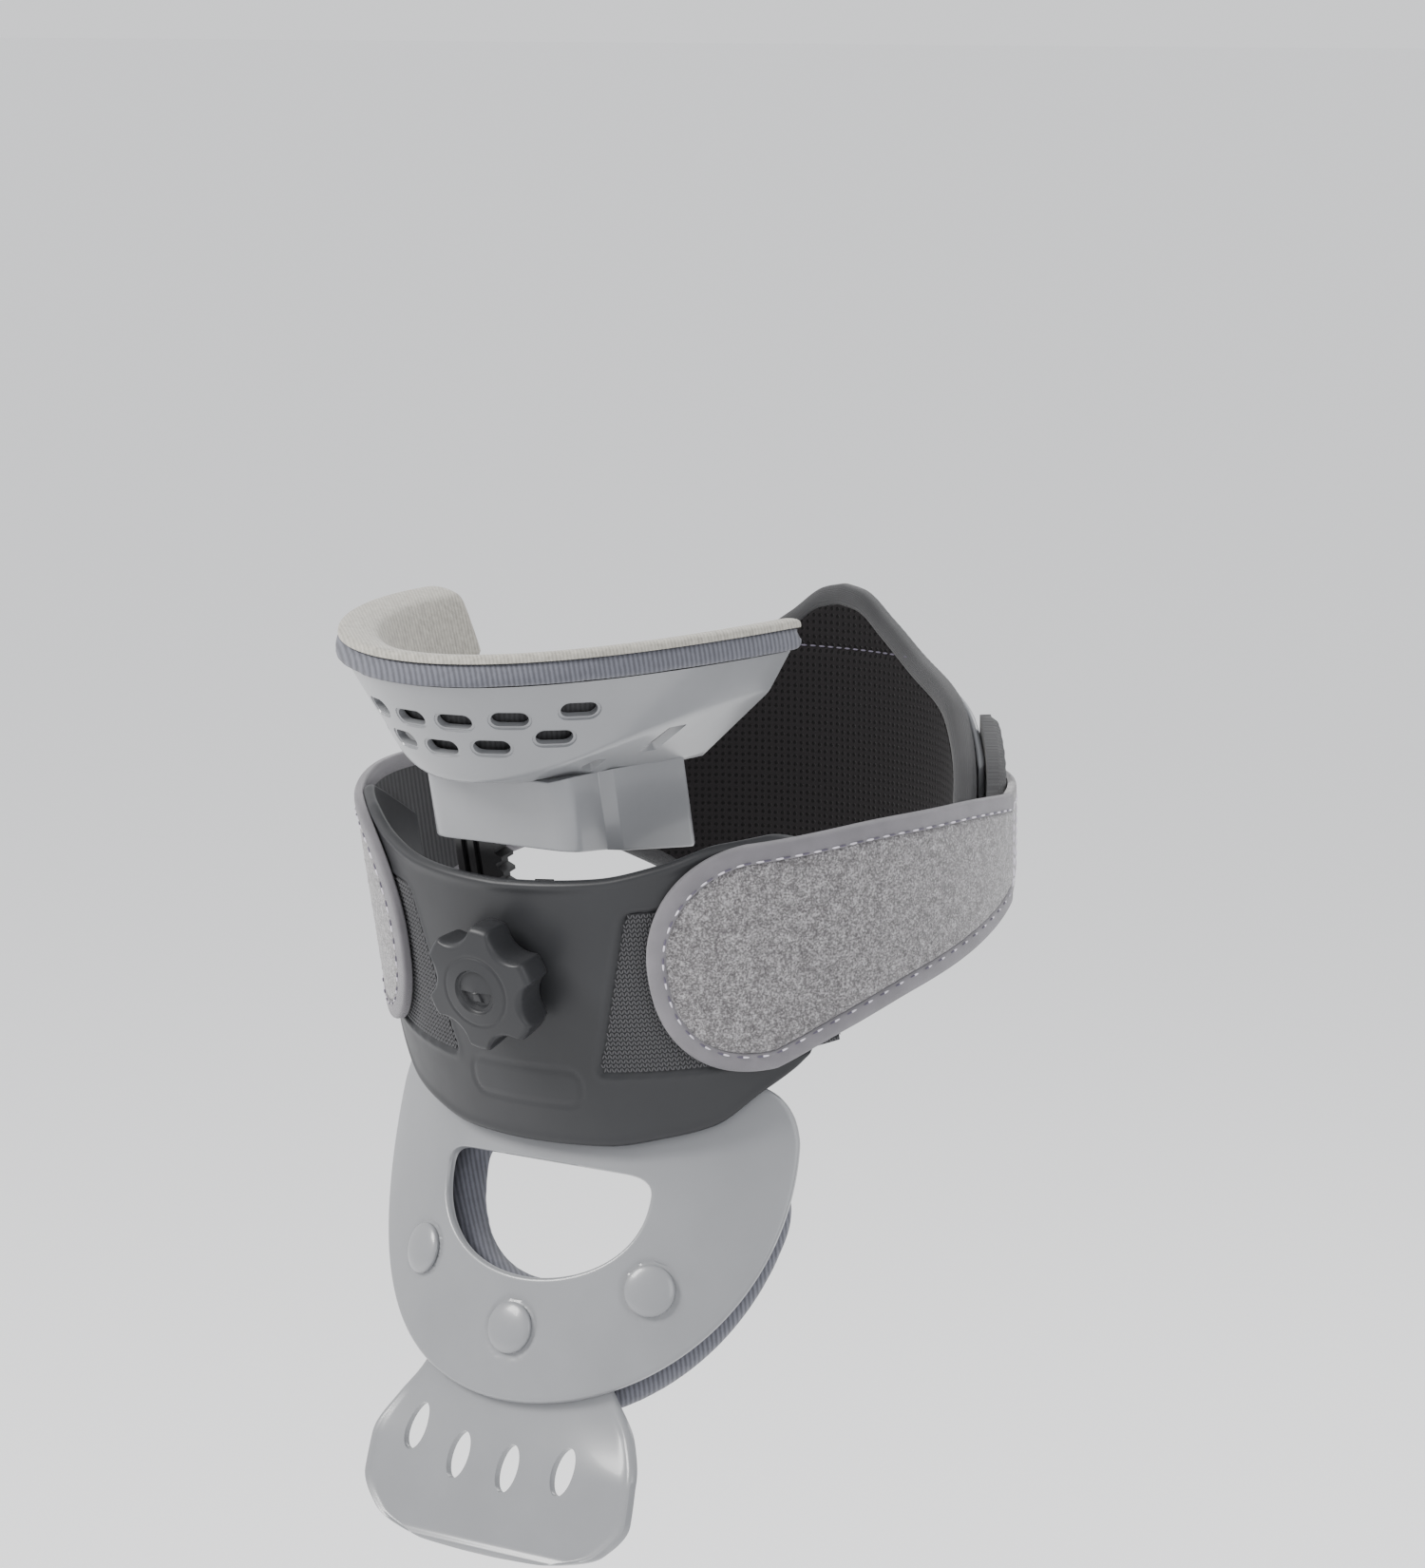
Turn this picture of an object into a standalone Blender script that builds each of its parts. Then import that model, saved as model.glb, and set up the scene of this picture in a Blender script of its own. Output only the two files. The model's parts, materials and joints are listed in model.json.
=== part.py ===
# Adjustable cervical collar: a ring of front panel, rear panel and two wrap straps, a chin tray that
# a knob, pinion and rack raise and lower, and a chest plate hinged below the front panel.
# Lengths are in millimetres and angles in degrees; MM turns them into metres when a mesh is made.
# The world is upright, with the neck opening's centre at the origin, the front at -Y and the top at +Z.
# The brace frame leans forward with the front panel, and the chest frame leans back with the plate.
# phi is the angle round the ring from the front, towards +X; theta is the angle from the rear.
import math

import bpy
import bmesh
import numpy as np
from mathutils import Matrix, Vector

MM = 0.001
clearance = 0.3

# ring and front panel
braceLean = 12.5
panelRadius = 98.0
panelWall = 3.0
panelHalfAngle = 78.0
panelTop = ((0, 39.5), (20, 40.5), (32, 43.7), (43, 47.6), (51, 47.6), (60, 42.0), (70, 32.0), (78, 22.0))
panelBottom = ((0, -46.0), (15, -46.0), (26, -43.7), (35, -41.0), (44, -32.6), (51, -26.5),
               (60, -15.5), (78, -8.0))
hookDepth = 1.2
hookTop = 30.0
hookBottom = -22.0
hookInnerTop = 24.3
hookInnerBottom = 15.5
hookOuter = 60.0

# chin lift: knob, shaft, pinion and rack, round an axis through the front panel
knobHeight = 9.6
knobRadius = 20.0
knobValley = 15.6
knobLobes = 6
knobSteps = 54
knobPhase = 8.6
knobGap = 3.0
knobDepth = 10.6
knobDomeRise = 4.0
knobDomeFoot = 14.2
knobDomeRadius = 12.6
capRadius = 10.8
capInset = 3.0
capDish = 6.8
shaftRadius = 3.0
bushWall = 1.8
bushFlangeWidth = 2.2
bushFlangeThickness = 0.9
spacerWall = 1.6
clipWidth = 2.4
clipGroove = 0.8
springWidth = 2.0
springWave = 0.25
gearModule = 1.5
gearTeeth = 10
gearPressure = 25.0
gearAddendum = 1.0
gearDedendum = 1.35
gearBacklash = 0.28
rackSetback = 13.3
rackThickness = 6.0
rackBottom = -27.0
rackWidth = 16.0
rackRib = 1.6
rackScrewSpacing = 7.6
rackScrewDrop = 6.0
shroudCeiling = 62.0

# gear housing behind the panel
housingGap = 2.2
housingWall = 2.0
housingSideWall = 1.6
housingTop = 19.5
housingBottom = -26.0
housingMargin = (6.5, 5.0)
postRadius = 3.2
postReach = 3.4
screwRadius = 1.5
screwHead = 2.9
screwHeadHeight = 1.8
screwReach = 5.0

# chin tray, upright
trayHalfWidth = 68.0
trayLength = 93.0
traySetback = 51.0
rimHeight = 80.0
rimRise = 5.0
creaseHeight = 49.4
creaseRise = 22.6
wallSlope = 0.60
trayWall = 2.6
floorMargin = 7.0
floorLength = 62.0
floorSetback = 54.0
floorMiddle = (17.0, 14.0, 6.0)
floorHeight = 47.0
ventLength = 10.4
ventHeight = 4.4
ventPitch = 16.0
ventRows = ((0.37, (-2.5, -1.5, -0.5, 0.5, 1.5, 2.5)), (0.65, (-2, -1, 0, 1, 2)))
sideHoles = ((44, 0.55, 5.6, 4.6), (66, 0.35, 9.0, 7.5))
shroudReach = 7.3
shroudShoulder = 7.0
shroudMargin = 3.5
shroudWall = 2.4
shroudFoot = 27.5
wingFoot = 23.0
wingBack = 42.0
wingReach = 8.5
wingWall = 4.0

# chin pad on the rim
padOverhang = 3.0
padRise = 9.0
padThickness = 7.0
padSkin = 1.2
padDepth = 12.0
padDepthInFront = 14.0
padEnd = 3.8

# chest plate, pad and extension, leaning back
chestLean = 17.0
chestRadius = 125.0
plateSetback = 40.8
plateWall = 3.0
discRadius = 82.0
discCentre = -85.0
plateTop = -60.0
plateSteps = ((33.0, -80.0), (55.0, -75.0))
windowCentre = -110.0
windowTop = -93.5
windowHalfWidth = 39.0
windowDepth = 35.5
windowShoulder = 5.5
chestPadRadius = 85.5
chestPadTop = -84.0
chestPadThickness = 13.0
windowMargin = 2.0
extensionWall = 2.4
extensionGap = 0.6
extensionTop = -132.0
extensionFlatten = (-5.0, 19.0)
ringStep = 41.0
extensionOutline = ((24, -132), (30, -150), (37, -161), (45, -172), (50, -184), (50.5, -196), (43, -207),
                    (24, -213), (0, -214))
slotLength = 15.0
slotWidth = 7.2
slotSpots = ((-32.5, -180, 12), (-14, -186, 12), (5, -187, 10), (25, -184.5, 10))
capSpots = ((-44.0, -126.5), (0.0, -145.0), (44.0, -126.5))
studCapRadius = 7.9
studRadius = 3.0
washerRadius = 6.5
washerThickness = 1.2
pivotSetback = 17.7
pivotHeight = -60.0
lugRadius = 4.4
lugLength = 28.4
lugRootHeight = 11.3
lugInner = 44.0
lugWall = 3.0
pinRadius = 2.0

# wrap straps
strapThickness = 2.8
strapTip = 27.3
strapRound = 47.0
strapMiddle = 11.8
strapUpper = 35.3
strapSeam = 112.0
strapTop = ((47, 47.1), (67, 44.7), (90, 37.0), (112, 25.3))
strapBottom = ((47, -24.0), (60, -17.4), (75, -12.8), (92, -11.2), (112, -10.2))
bindingWidth = 5.8
bindingThickness = 3.4
uprightFrom = 80.0
uprightTo = 106.0
anchorEnd = 42.0
anchorTaper = 0.28

# rear panel, upright
rearSetback = 15.3
rearPadThickness = 6.0
rearHalfAngle = 63.4
rearTop = ((0, 87.0), (5, 85.4), (13, 77.0), (24, 66.5), (41, 56.5), (47.5, 49.8), (56, 39.7), (63.4, 28.0))
rearBottom = ((0, -30.0), (25, -24.0), (45, -9.0), (63.4, 4.0))
rearBindingWidth = 7.0
liningThickness = 1.2
rearPlateThickness = 2.5
rearPlateHalfAngle = 57.4
rearPlateInset = 5.0
pocketSpan = (45.0, 66.5)

# places that follow from the sizes above
brace = math.radians(braceLean)
chest = -math.radians(chestLean)
panelInner = panelRadius - panelWall
knobBack = panelRadius + knobGap
knobFace = knobBack + knobDepth
knobDome = knobFace + knobDomeRise
capSeat = knobDome - capInset
bushRadius = shaftRadius + bushWall
gearRadius = gearModule * gearTeeth / 2
gearPitch = math.pi * gearModule
rackFront = panelRadius - rackSetback
housingBack = rackFront - rackThickness - housingGap - housingWall
housingSpan = (-gearRadius - rackWidth - housingMargin[0], gearRadius + housingMargin[1])
shroudFace = rackFront + shroudReach
shroudRear = rackFront - rackThickness - clearance - shroudWall
shroudHalfWidth = gearRadius + rackWidth + shroudMargin
shroudHalfFace = shroudHalfWidth - shroudShoulder
wingHalfWidth = shroudHalfWidth + wingReach
floorHalfWidth = shroudHalfWidth + floorMargin
trayBack = traySetback - panelRadius
floorBack = floorSetback - panelRadius
plateFace = panelRadius - plateSetback
chestCentre = chestRadius - plateFace
pivotDepth = pivotSetback - plateFace
plateBottom = discCentre - discRadius
strapHalfHeight = (strapTop[0][1] - strapBottom[0][1]) / 2
rearPadInner = panelRadius - rearSetback


# ---- helpers -------------------------------------------------------------------------------------

def clearScene():
    for thing in list(bpy.data.objects):
        bpy.data.objects.remove(thing, do_unlink=True)


def makeMaterial(name, colour, roughness, metallic=0.0):
    material = bpy.data.materials.new(name)
    material.use_nodes = True
    shader = material.node_tree.nodes["Principled BSDF"]
    shader.inputs["Base Color"].default_value = (*colour, 1.0)
    shader.inputs["Roughness"].default_value = roughness
    shader.inputs["Metallic"].default_value = metallic
    material.diffuse_color = (*colour, 1.0)
    return material


def makeFrame(name, location=(0, 0, 0), lean=0.0, parent=None):
    empty = bpy.data.objects.new(name, None)
    bpy.context.scene.collection.objects.link(empty)
    empty.location = Vector(location) * MM
    empty.rotation_euler = (lean, 0, 0)
    empty.parent = parent
    return empty


def addSolid(name, points, faces, material=None, parent=None, cutter=False):
    mesh = bpy.data.meshes.new(name)
    mesh.from_pydata([tuple(float(c) * MM for c in p) for p in points], [], faces)
    work = bmesh.new()
    work.from_mesh(mesh)
    bmesh.ops.remove_doubles(work, verts=work.verts, dist=1e-7)
    bmesh.ops.recalc_face_normals(work, faces=work.faces)
    work.to_mesh(mesh)
    work.free()
    mesh.shade_smooth()
    mesh.set_sharp_from_angle(angle=math.radians(35))
    thing = bpy.data.objects.new(name, mesh)
    bpy.context.scene.collection.objects.link(thing)
    thing.parent = parent
    if material:
        mesh.materials.append(material)
    if cutter:
        thing.hide_render = True
        thing.display_type = "WIRE"
    return thing


def combine(target, other, operation, solver="EXACT"):
    modifier = target.modifiers.new(operation.title() + " " + other.name, "BOOLEAN")
    modifier.operation = operation
    modifier.object = other
    modifier.solver = solver


def cut(target, *cutters):
    for cutter in cutters:
        combine(target, cutter, "DIFFERENCE")


def join(target, *others):
    for other in others:
        combine(target, other, "UNION")


def curveThrough(points):
    # monotone cubic through a few points, so that an edge stays smooth and never overshoots
    xs = np.array([p[0] for p in points], float)
    ys = np.array([p[1] for p in points], float)
    steps = np.diff(ys) / np.diff(xs)
    slopes = np.zeros(len(xs))
    slopes[0], slopes[-1] = steps[0], steps[-1]
    for i in range(1, len(xs) - 1):
        if steps[i - 1] * steps[i] > 0:
            slopes[i] = 2 * steps[i - 1] * steps[i] / (steps[i - 1] + steps[i])

    def value(x):
        x = min(max(x, xs[0]), xs[-1])
        i = min(int(np.searchsorted(xs, x, side="right")) - 1, len(xs) - 2)
        h = xs[i + 1] - xs[i]
        s = (x - xs[i]) / h
        return float(ys[i] * (1 + 2 * s) * (1 - s) ** 2 + ys[i + 1] * s * s * (3 - 2 * s)
                     + h * s * (1 - s) * (slopes[i] * (1 - s) - slopes[i + 1] * s))
    return value


def smoothStep(x, start, end):
    s = min(max((x - start) / (end - start), 0.0), 1.0)
    return s * s * (3 - 2 * s)


def gridSolid(name, inner, outer, material=None, parent=None, closed=False, cutter=False):
    # a slab between two grids of points; closed makes the first direction a loop
    rows, columns = len(inner), len(inner[0])
    points = [p for row in outer for p in row] + [p for row in inner for p in row]
    base = rows * columns

    def at(i, j, side):
        return side * base + (i % rows) * columns + j
    faces = []
    for i in range(rows if closed else rows - 1):
        for j in range(columns - 1):
            for side in (0, 1):
                faces.append((at(i, j, side), at(i + 1, j, side), at(i + 1, j + 1, side),
                              at(i, j + 1, side)))
        for j in (0, columns - 1):
            faces.append((at(i, j, 0), at(i + 1, j, 0), at(i + 1, j, 1), at(i, j, 1)))
    if not closed:
        for i in (0, rows - 1):
            for j in range(columns - 1):
                faces.append((at(i, j, 0), at(i, j + 1, 0), at(i, j + 1, 1), at(i, j, 1)))
    return addSolid(name, points, faces, material, parent, cutter)


def loopSolid(name, loops, material=None, parent=None, cutter=False, capped=True):
    # a skin over a row of equal loops, capped at both ends or joined end to end
    count = len(loops[0])
    points = [p for loop in loops for p in loop]
    faces = []
    for k in range(len(loops) - 1 if capped else len(loops)):
        a, b = k * count, ((k + 1) % len(loops)) * count
        for i in range(count):
            j = (i + 1) % count
            faces.append((a + i, a + j, b + j, b + i))
    if capped:
        faces.append(tuple(range(count)))
        faces.append(tuple(range((len(loops) - 1) * count, len(loops) * count)))
    return addSolid(name, points, faces, material, parent, cutter)


def circle(radius, count, phase=0.0):
    turns = [2 * math.pi * (k + phase) / count for k in range(count)]
    return [(radius * math.cos(a), radius * math.sin(a)) for a in turns]


def turned(name, profile, material=None, parent=None, count=32, centre=(0, 0), closed=False, cutter=False):
    # profile of (radius, y) turned round an axis along Y; closed joins its ends into a ring
    loops = [[(centre[0] + x, y, centre[1] + z) for x, z in circle(radius, count)] for radius, y in profile]
    return loopSolid(name, loops, material, parent, cutter, capped=not closed)


def rod(name, radius, start, end, material=None, parent=None, count=20, centre=(0, 0), cutter=False):
    return turned(name, ((radius, start), (radius, end)), material, parent, count, centre, cutter=cutter)


def crossRod(name, radius, start, end, centre, material=None, parent=None, cutter=False):
    # a round bar along X, centred on (y, z)
    loops = [[(x, centre[0] + y, centre[1] + z) for y, z in circle(radius, 14)] for x in (start, end)]
    return loopSolid(name, loops, material, parent, cutter)


def block(name, xs, ys, zs, material=None, parent=None, cutter=False):
    corners = ((0, 0), (1, 0), (1, 1), (0, 1))
    loops = [[(xs[i], ys[j], z) for i, j in corners] for z in zs]
    return loopSolid(name, loops, material, parent, cutter)


def spread(start, end, count):
    return [float(v) for v in np.linspace(start, end, count)]


def toBrace(y, z):
    return (y * math.cos(brace) + z * math.sin(brace), z * math.cos(brace) - y * math.sin(brace))


def toWorld(y, z, lean):
    return (y * math.cos(lean) - z * math.sin(lean), y * math.sin(lean) + z * math.cos(lean))


def onRing(phi, z, radius):
    return (radius * math.sin(math.radians(phi)), -radius * math.cos(math.radians(phi)), z)


def onRear(theta, z, radius):
    return (radius * math.sin(math.radians(theta)), radius * math.cos(math.radians(theta)), z)


# ---- front panel ---------------------------------------------------------------------------------

panelTopAt = curveThrough(panelTop)
panelBottomAt = curveThrough(panelBottom)


def panelGrid(radius):
    rows = []
    for phi in spread(-panelHalfAngle, panelHalfAngle, 41):
        top, bottom = panelTopAt(abs(phi)), panelBottomAt(abs(phi))
        rows.append([onRing(phi, z, radius) for z in spread(bottom, top, 5)])
    return rows


def hookGrid(side, radius, margin):
    rows = []
    marginAngle = math.degrees(margin / panelRadius)
    for s in spread(0, 1, 8):
        row = []
        for z in spread(hookBottom - margin, hookTop + margin, 4):
            share = (z - hookBottom) / (hookTop - hookBottom)
            start = hookInnerBottom + (hookInnerTop - hookInnerBottom) * share - marginAngle
            phi = start + (hookOuter + marginAngle - start) * s
            row.append(onRing(side * phi, z, radius))
        rows.append(row)
    return rows


def addHookPatch(side, word, panel, parent, material):
    floor = panelRadius - hookDepth
    recess = gridSolid("cut_hook_" + word, hookGrid(side, floor, clearance),
                       hookGrid(side, panelRadius + 2, clearance), parent=parent, cutter=True)
    cut(panel, recess)
    gridSolid("hook_patch_" + word, hookGrid(side, floor + clearance, 0), hookGrid(side, panelRadius, 0),
              material, parent)


def lugLoop(pivot, reach, radius=lugRadius):
    # a lug's outline in (y, z): round about the pivot, square where it meets its wall
    turns = [math.pi / 2 - math.pi * k / 10 for k in range(11)]
    loop = [(pivot[0] + radius * math.cos(a), pivot[1] + radius * math.sin(a)) for a in turns]
    return loop + [(reach, pivot[1] - radius), (reach, pivot[1] + radius)]


def hingePivot():
    return toBrace(*toWorld(pivotDepth, pivotHeight, chest))


def addPanelLug(side, word, panel, parent):
    start = lugInner + lugWall + clearance
    pivot = hingePivot()
    reach = -math.sqrt(panelRadius ** 2 - (start + lugWall) ** 2) + panelWall / 2 + 0.6
    loop = lugLoop(pivot, reach)
    xs = (side * start, side * (start + lugWall))
    lug = loopSolid("cut_panel_lug_" + word, [[(x, y, z) for y, z in loop] for x in xs],
                    parent=parent, cutter=True)
    join(panel, lug)
    hole = crossRod("cut_panel_pin_" + word, pinRadius + clearance, side * (start - 2),
                    side * (start + lugWall + 2), pivot, parent=parent, cutter=True)
    cut(panel, hole)


def postSpots():
    left, right = housingSpan
    return [(x, z) for x in (left - postReach, right + postReach)
            for z in (housingTop - postRadius - 0.3, housingBottom + postRadius + 2)]


def addFrontPanel(parent, plastic, hook):
    panel = gridSolid("front_panel", panelGrid(panelInner), panelGrid(panelRadius), plastic, parent)
    for side, word in ((-1, "right"), (1, "left")):
        addHookPatch(side, word, panel, parent, hook)
        addPanelLug(side, word, panel, parent)
    for index, (x, z) in enumerate(postSpots()):
        start = -math.sqrt((panelRadius - hookDepth - 0.8) ** 2 - (abs(x) + postRadius) ** 2)
        end = -(housingBack + housingWall + clearance)
        join(panel, rod(f"cut_post_{index}", postRadius, start, end, parent=parent, centre=(x, z), count=16,
                        cutter=True))
        cut(panel, rod(f"cut_post_hole_{index}", screwRadius + clearance, end - 7, end + 1, parent=parent,
                       centre=(x, z), count=12, cutter=True))
    cut(panel, rod("cut_bush_seat", bushRadius + clearance, -panelRadius - 2, -panelInner + 2,
                   parent=parent, centre=(0, knobHeight), count=28, cutter=True))
    return panel


# ---- chin lift -----------------------------------------------------------------------------------

def knobOutline(scale):
    # six round lobes with shallow hollows between them
    loop = []
    for k in range(knobSteps):
        turn = 2 * math.pi * k / knobSteps
        wave = math.cos(knobLobes * (turn - math.radians(knobPhase)))
        share = (0.5 + 0.5 * wave) ** 0.8
        radius = (knobValley + (knobRadius - knobValley) * share) * scale
        loop.append((radius * math.sin(turn + math.pi / 2), radius * math.cos(turn + math.pi / 2)))
    return loop


def addKnob(parent, plastic, capPlastic, steel):
    levels = ((0.93, knobBack), (0.97, knobBack + 1.2), (1.0, knobFace - 2.0), (0.97, knobFace - 0.6),
              (0.90, knobFace))
    loops = [[(x, -y, z) for x, z in knobOutline(scale)] for scale, y in levels]
    for radius, y in ((knobDomeFoot, knobDome - 2.0), (knobDomeRadius, knobDome)):
        loops.append([(x, -y, -z) for x, z in circle(radius, knobSteps)])
    knob = loopSolid("knob", loops, plastic, parent)
    pocket = rod("cut_knob_pocket", capRadius + clearance, -knobDome - 1, -capSeat + 2.4, parent=parent,
                 count=36, cutter=True)
    bore = rod("cut_knob_bore", shaftRadius + clearance, -knobDome, -knobBack + 1, parent=parent, count=20,
               cutter=True)
    cut(knob, pocket, bore)
    rim = knobDome - 0.2
    profile = ((capRadius, -capSeat + 0.6), (capRadius, -rim + 0.5), (capRadius - 0.6, -rim),
               (capDish + 0.5, -rim), (capDish, -rim + 1.4))
    turned("knob_cap", profile, capPlastic, parent, count=28)
    screwTop = capSeat - 0.6 - clearance
    profile = ((4.4, -capSeat + 2.1), (4.4, -screwTop))
    turned("knob_screw", profile, steel, parent, count=18)


def involute(radius, base):
    turn = math.acos(min(1.0, base / radius))
    return math.tan(turn) - turn


def pinionOutline():
    base = gearRadius * math.cos(math.radians(gearPressure))
    root, tip = gearRadius - gearDedendum, gearRadius + gearAddendum
    half = (gearPitch / 2 - gearBacklash) / 2 / gearRadius + involute(gearRadius, base)
    radii = spread(base, tip, 4)
    loop = []
    for tooth in range(gearTeeth):
        middle = 2 * math.pi * tooth / gearTeeth
        flank = [(r, half - involute(r, base)) for r in radii]
        side = [(root, half + 0.03)] + flank
        for r, turn in side:
            loop.append((r * math.cos(middle - turn), r * math.sin(middle - turn)))
        for r, turn in reversed(side):
            loop.append((r * math.cos(middle + turn), r * math.sin(middle + turn)))
    return loop


def addShaft(parent, steel, acetal):
    clipFace = housingBack - clearance
    profile = ((shaftRadius, -capSeat + 2.1 + clearance), (shaftRadius, -clipFace + 0.2),
               (shaftRadius - clipGroove, -clipFace + 0.2), (shaftRadius - clipGroove, -clipFace + 1.7),
               (shaftRadius, -clipFace + 1.7), (shaftRadius, -clipFace + 3.2))
    turned("drive_shaft", profile, steel, parent, count=20)
    innerClip = shaftRadius - clipGroove + clearance
    outerClip = shaftRadius + clipWidth
    profile = ((innerClip, -clipFace + 0.5), (outerClip, -clipFace + 0.5), (outerClip, -clipFace + 1.4),
               (innerClip, -clipFace + 1.4))
    turned("shaft_clip", profile, steel, parent, count=14, closed=True)
    outline = pinionOutline()
    faces = (-rackFront, -rackFront + rackThickness)
    pinion = loopSolid("pinion", [[(x, y, z) for x, z in outline] for y in faces], acetal, parent)
    cut(pinion, rod("cut_pinion_bore", shaftRadius + clearance, -rackFront - 1,
                    -rackFront + rackThickness + 1, parent=parent, count=20, cutter=True))
    bore = shaftRadius + clearance
    spacer = shaftRadius + spacerWall
    hub = ((bore, -rackFront - clearance), (spacer, -rackFront - clearance), (spacer, -panelInner + 1.8),
           (bore, -panelInner + 1.8))
    turned("pinion_spacer", hub, acetal, parent, count=20, closed=True)


def addBushAndSpring(parent, plastic, steel):
    bore = shaftRadius + clearance
    face = panelRadius + clearance
    flange = bushRadius + bushFlangeWidth
    outside = face + bushFlangeThickness
    profile = ((bore, -panelInner + 1.2), (bushRadius, -panelInner + 1.2), (bushRadius, -face),
               (flange, -face), (flange, -outside), (bore, -outside))
    turned("shaft_bush", profile, plastic, parent, count=18, closed=True)
    loops = []
    for k in range(24):
        turn = 2 * math.pi * k / 24
        middle = -(outside + knobBack) / 2 + springWave * math.cos(3 * turn)
        near = shaftRadius + spacerWall
        far = near + springWidth
        section = ((near, middle - 0.2), (far, middle - 0.2), (far, middle + 0.2), (near, middle + 0.2))
        loops.append([(r * math.cos(turn), y, r * math.sin(turn)) for r, y in section])
    loopSolid("detent_spring", loops, steel, parent, capped=False)


def rackOutline(top):
    # toothed strip in (x, z): its gap is level with the pinion's axis when the chin tray is at rest
    pitchLine = -gearRadius
    slope = math.tan(math.radians(gearPressure))
    half = (gearPitch / 2 - gearBacklash) / 2
    tip, root = pitchLine + gearAddendum, pitchLine - gearDedendum
    loop = [(pitchLine - rackWidth, top), (pitchLine - rackWidth, rackBottom), (root, rackBottom)]
    first = math.ceil((rackBottom + 2 - knobHeight) / gearPitch - 0.5)
    last = math.floor((top - 2.2 - knobHeight) / gearPitch - 0.5)
    for k in range(first, last + 1):
        middle = knobHeight + (k + 0.5) * gearPitch
        wide, narrow = half + gearDedendum * slope, half - gearAddendum * slope
        loop += [(root, middle - wide), (tip, middle - narrow)]
        loop += [(tip, middle + narrow), (root, middle + wide)]
    return loop + [(root, top)]


def addRack(parent, plastic, steel):
    top = shroudCeiling - clearance
    outline = rackOutline(top)
    rack = loopSolid("rack", [[(x, y, z) for x, z in outline]
                              for y in (-rackFront, -rackFront + rackThickness)], plastic, parent)
    left = -gearRadius - rackWidth
    for index, x in enumerate((left + 2.4, left + 7.0)):
        groove = block(f"cut_rack_groove_{index}", (x, x + 2.2), (-rackFront - 1, -rackFront + rackRib),
                       (rackBottom - 1, shroudCeiling - 12), parent=parent, cutter=True)
        cut(rack, groove)
    for index, x in enumerate(rackScrewSpots()):
        cut(rack, rod(f"cut_rack_hole_{index}", screwRadius + clearance, -rackFront + 1.5, -shroudRear,
                      parent=parent, centre=(x, shroudCeiling - rackScrewDrop), count=12, cutter=True))
        profile = ((screwRadius, -rackFront + 2.2), (screwRadius, -shroudRear + clearance),
                   (screwHead, -shroudRear + clearance), (screwHead, -shroudRear + screwHeadHeight))
        turned(f"rack_screw_{index + 1}", profile, steel, parent, count=14,
               centre=(x, shroudCeiling - rackScrewDrop))


def rackScrewSpots():
    middle = -gearRadius - rackWidth / 2
    return (middle - rackScrewSpacing / 2, middle + rackScrewSpacing / 2)


def housingRim(x):
    return -math.sqrt(panelInner ** 2 - x * x) + 0.6


def addHousing(parent, plastic, steel):
    # a channel behind the rack: a back plate with two side walls that stand on the panel
    left, right = housingSpan
    back, inner = -housingBack, -housingBack - housingWall
    outer = postReach + postRadius
    zs = (housingBottom, housingTop)
    housing = block("gear_housing", (left - outer, right + outer), (inner, back), zs, plastic, parent)
    for index, (x0, x1) in enumerate(((left - 0.2, left - 0.2 + housingSideWall),
                                   (right + 0.2 - housingSideWall, right + 0.2))):
        front = max(housingRim(x0), housingRim(x1))
        join(housing, block(f"cut_housing_wall_{index}", (x0, x1), (front, back - 0.5), zs, parent=parent,
                            cutter=True))
    cut(housing, rod("cut_housing_bore", shaftRadius + clearance, inner - 1, back + 1, parent=parent,
                     centre=(0, knobHeight), count=20, cutter=True))
    for index, (x, z) in enumerate(postSpots()):
        cut(housing, rod(f"cut_housing_hole_{index}", screwRadius + clearance, inner - 1, back + 1,
                         parent=parent, centre=(x, z), count=12, cutter=True))
        profile = ((screwRadius, inner - screwReach), (screwRadius, back + clearance),
                   (screwHead, back + clearance), (screwHead, back + screwHeadHeight))
        turned(f"housing_screw_{index + 1}", profile, steel, parent, count=14, centre=(x, z))


# ---- chin tray and pad ---------------------------------------------------------------------------

def rimPoint(turn):
    return (trayHalfWidth * math.sin(turn), trayBack - trayLength * math.cos(turn),
            rimHeight + rimRise * math.sin(turn) ** 2)


def creasePoint(turn, share):
    # the band slopes inwards from the rim to the crease
    x, y, z = rimPoint(turn)
    crease = creaseHeight + creaseRise * abs(math.sin(turn)) ** 2.4
    drop = (z - crease) * share
    inward = drop * wallSlope
    return ((trayHalfWidth - inward) * math.sin(turn), trayBack - (trayLength - inward) * math.cos(turn),
            z - drop)


def floorPoint(turn, share):
    # the underside runs from the crease to the shroud
    a = creasePoint(turn, 1.0)
    b = (floorHalfWidth * math.sin(turn), floorBack - floorLength * math.cos(turn),
         floorHeight + 3.0 * math.sin(turn) ** 2)
    return tuple(a[k] + (b[k] - a[k]) * share for k in range(3))


def innerFloorPoint(turn):
    width, setback, length = floorMiddle
    return (width * math.sin(turn), setback - panelRadius - length * math.cos(turn), floorHeight)


def offsetGrid(grid, distance):
    points = np.array(grid)
    along = np.gradient(points, axis=0)
    across = np.gradient(points, axis=1)
    normals = np.cross(along, across)
    normals /= np.linalg.norm(normals, axis=2, keepdims=True)
    return (points + normals * distance).tolist()


def trayGrid():
    rows = []
    for degrees in spread(-90, 90, 33):
        turn = math.radians(degrees)
        row = [rimPoint(turn), creasePoint(turn, 0.33), creasePoint(turn, 0.67), creasePoint(turn, 1.0),
               floorPoint(turn, 0.5), floorPoint(turn, 1.0), innerFloorPoint(turn)]
        rows.append(row)
    return rows


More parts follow.
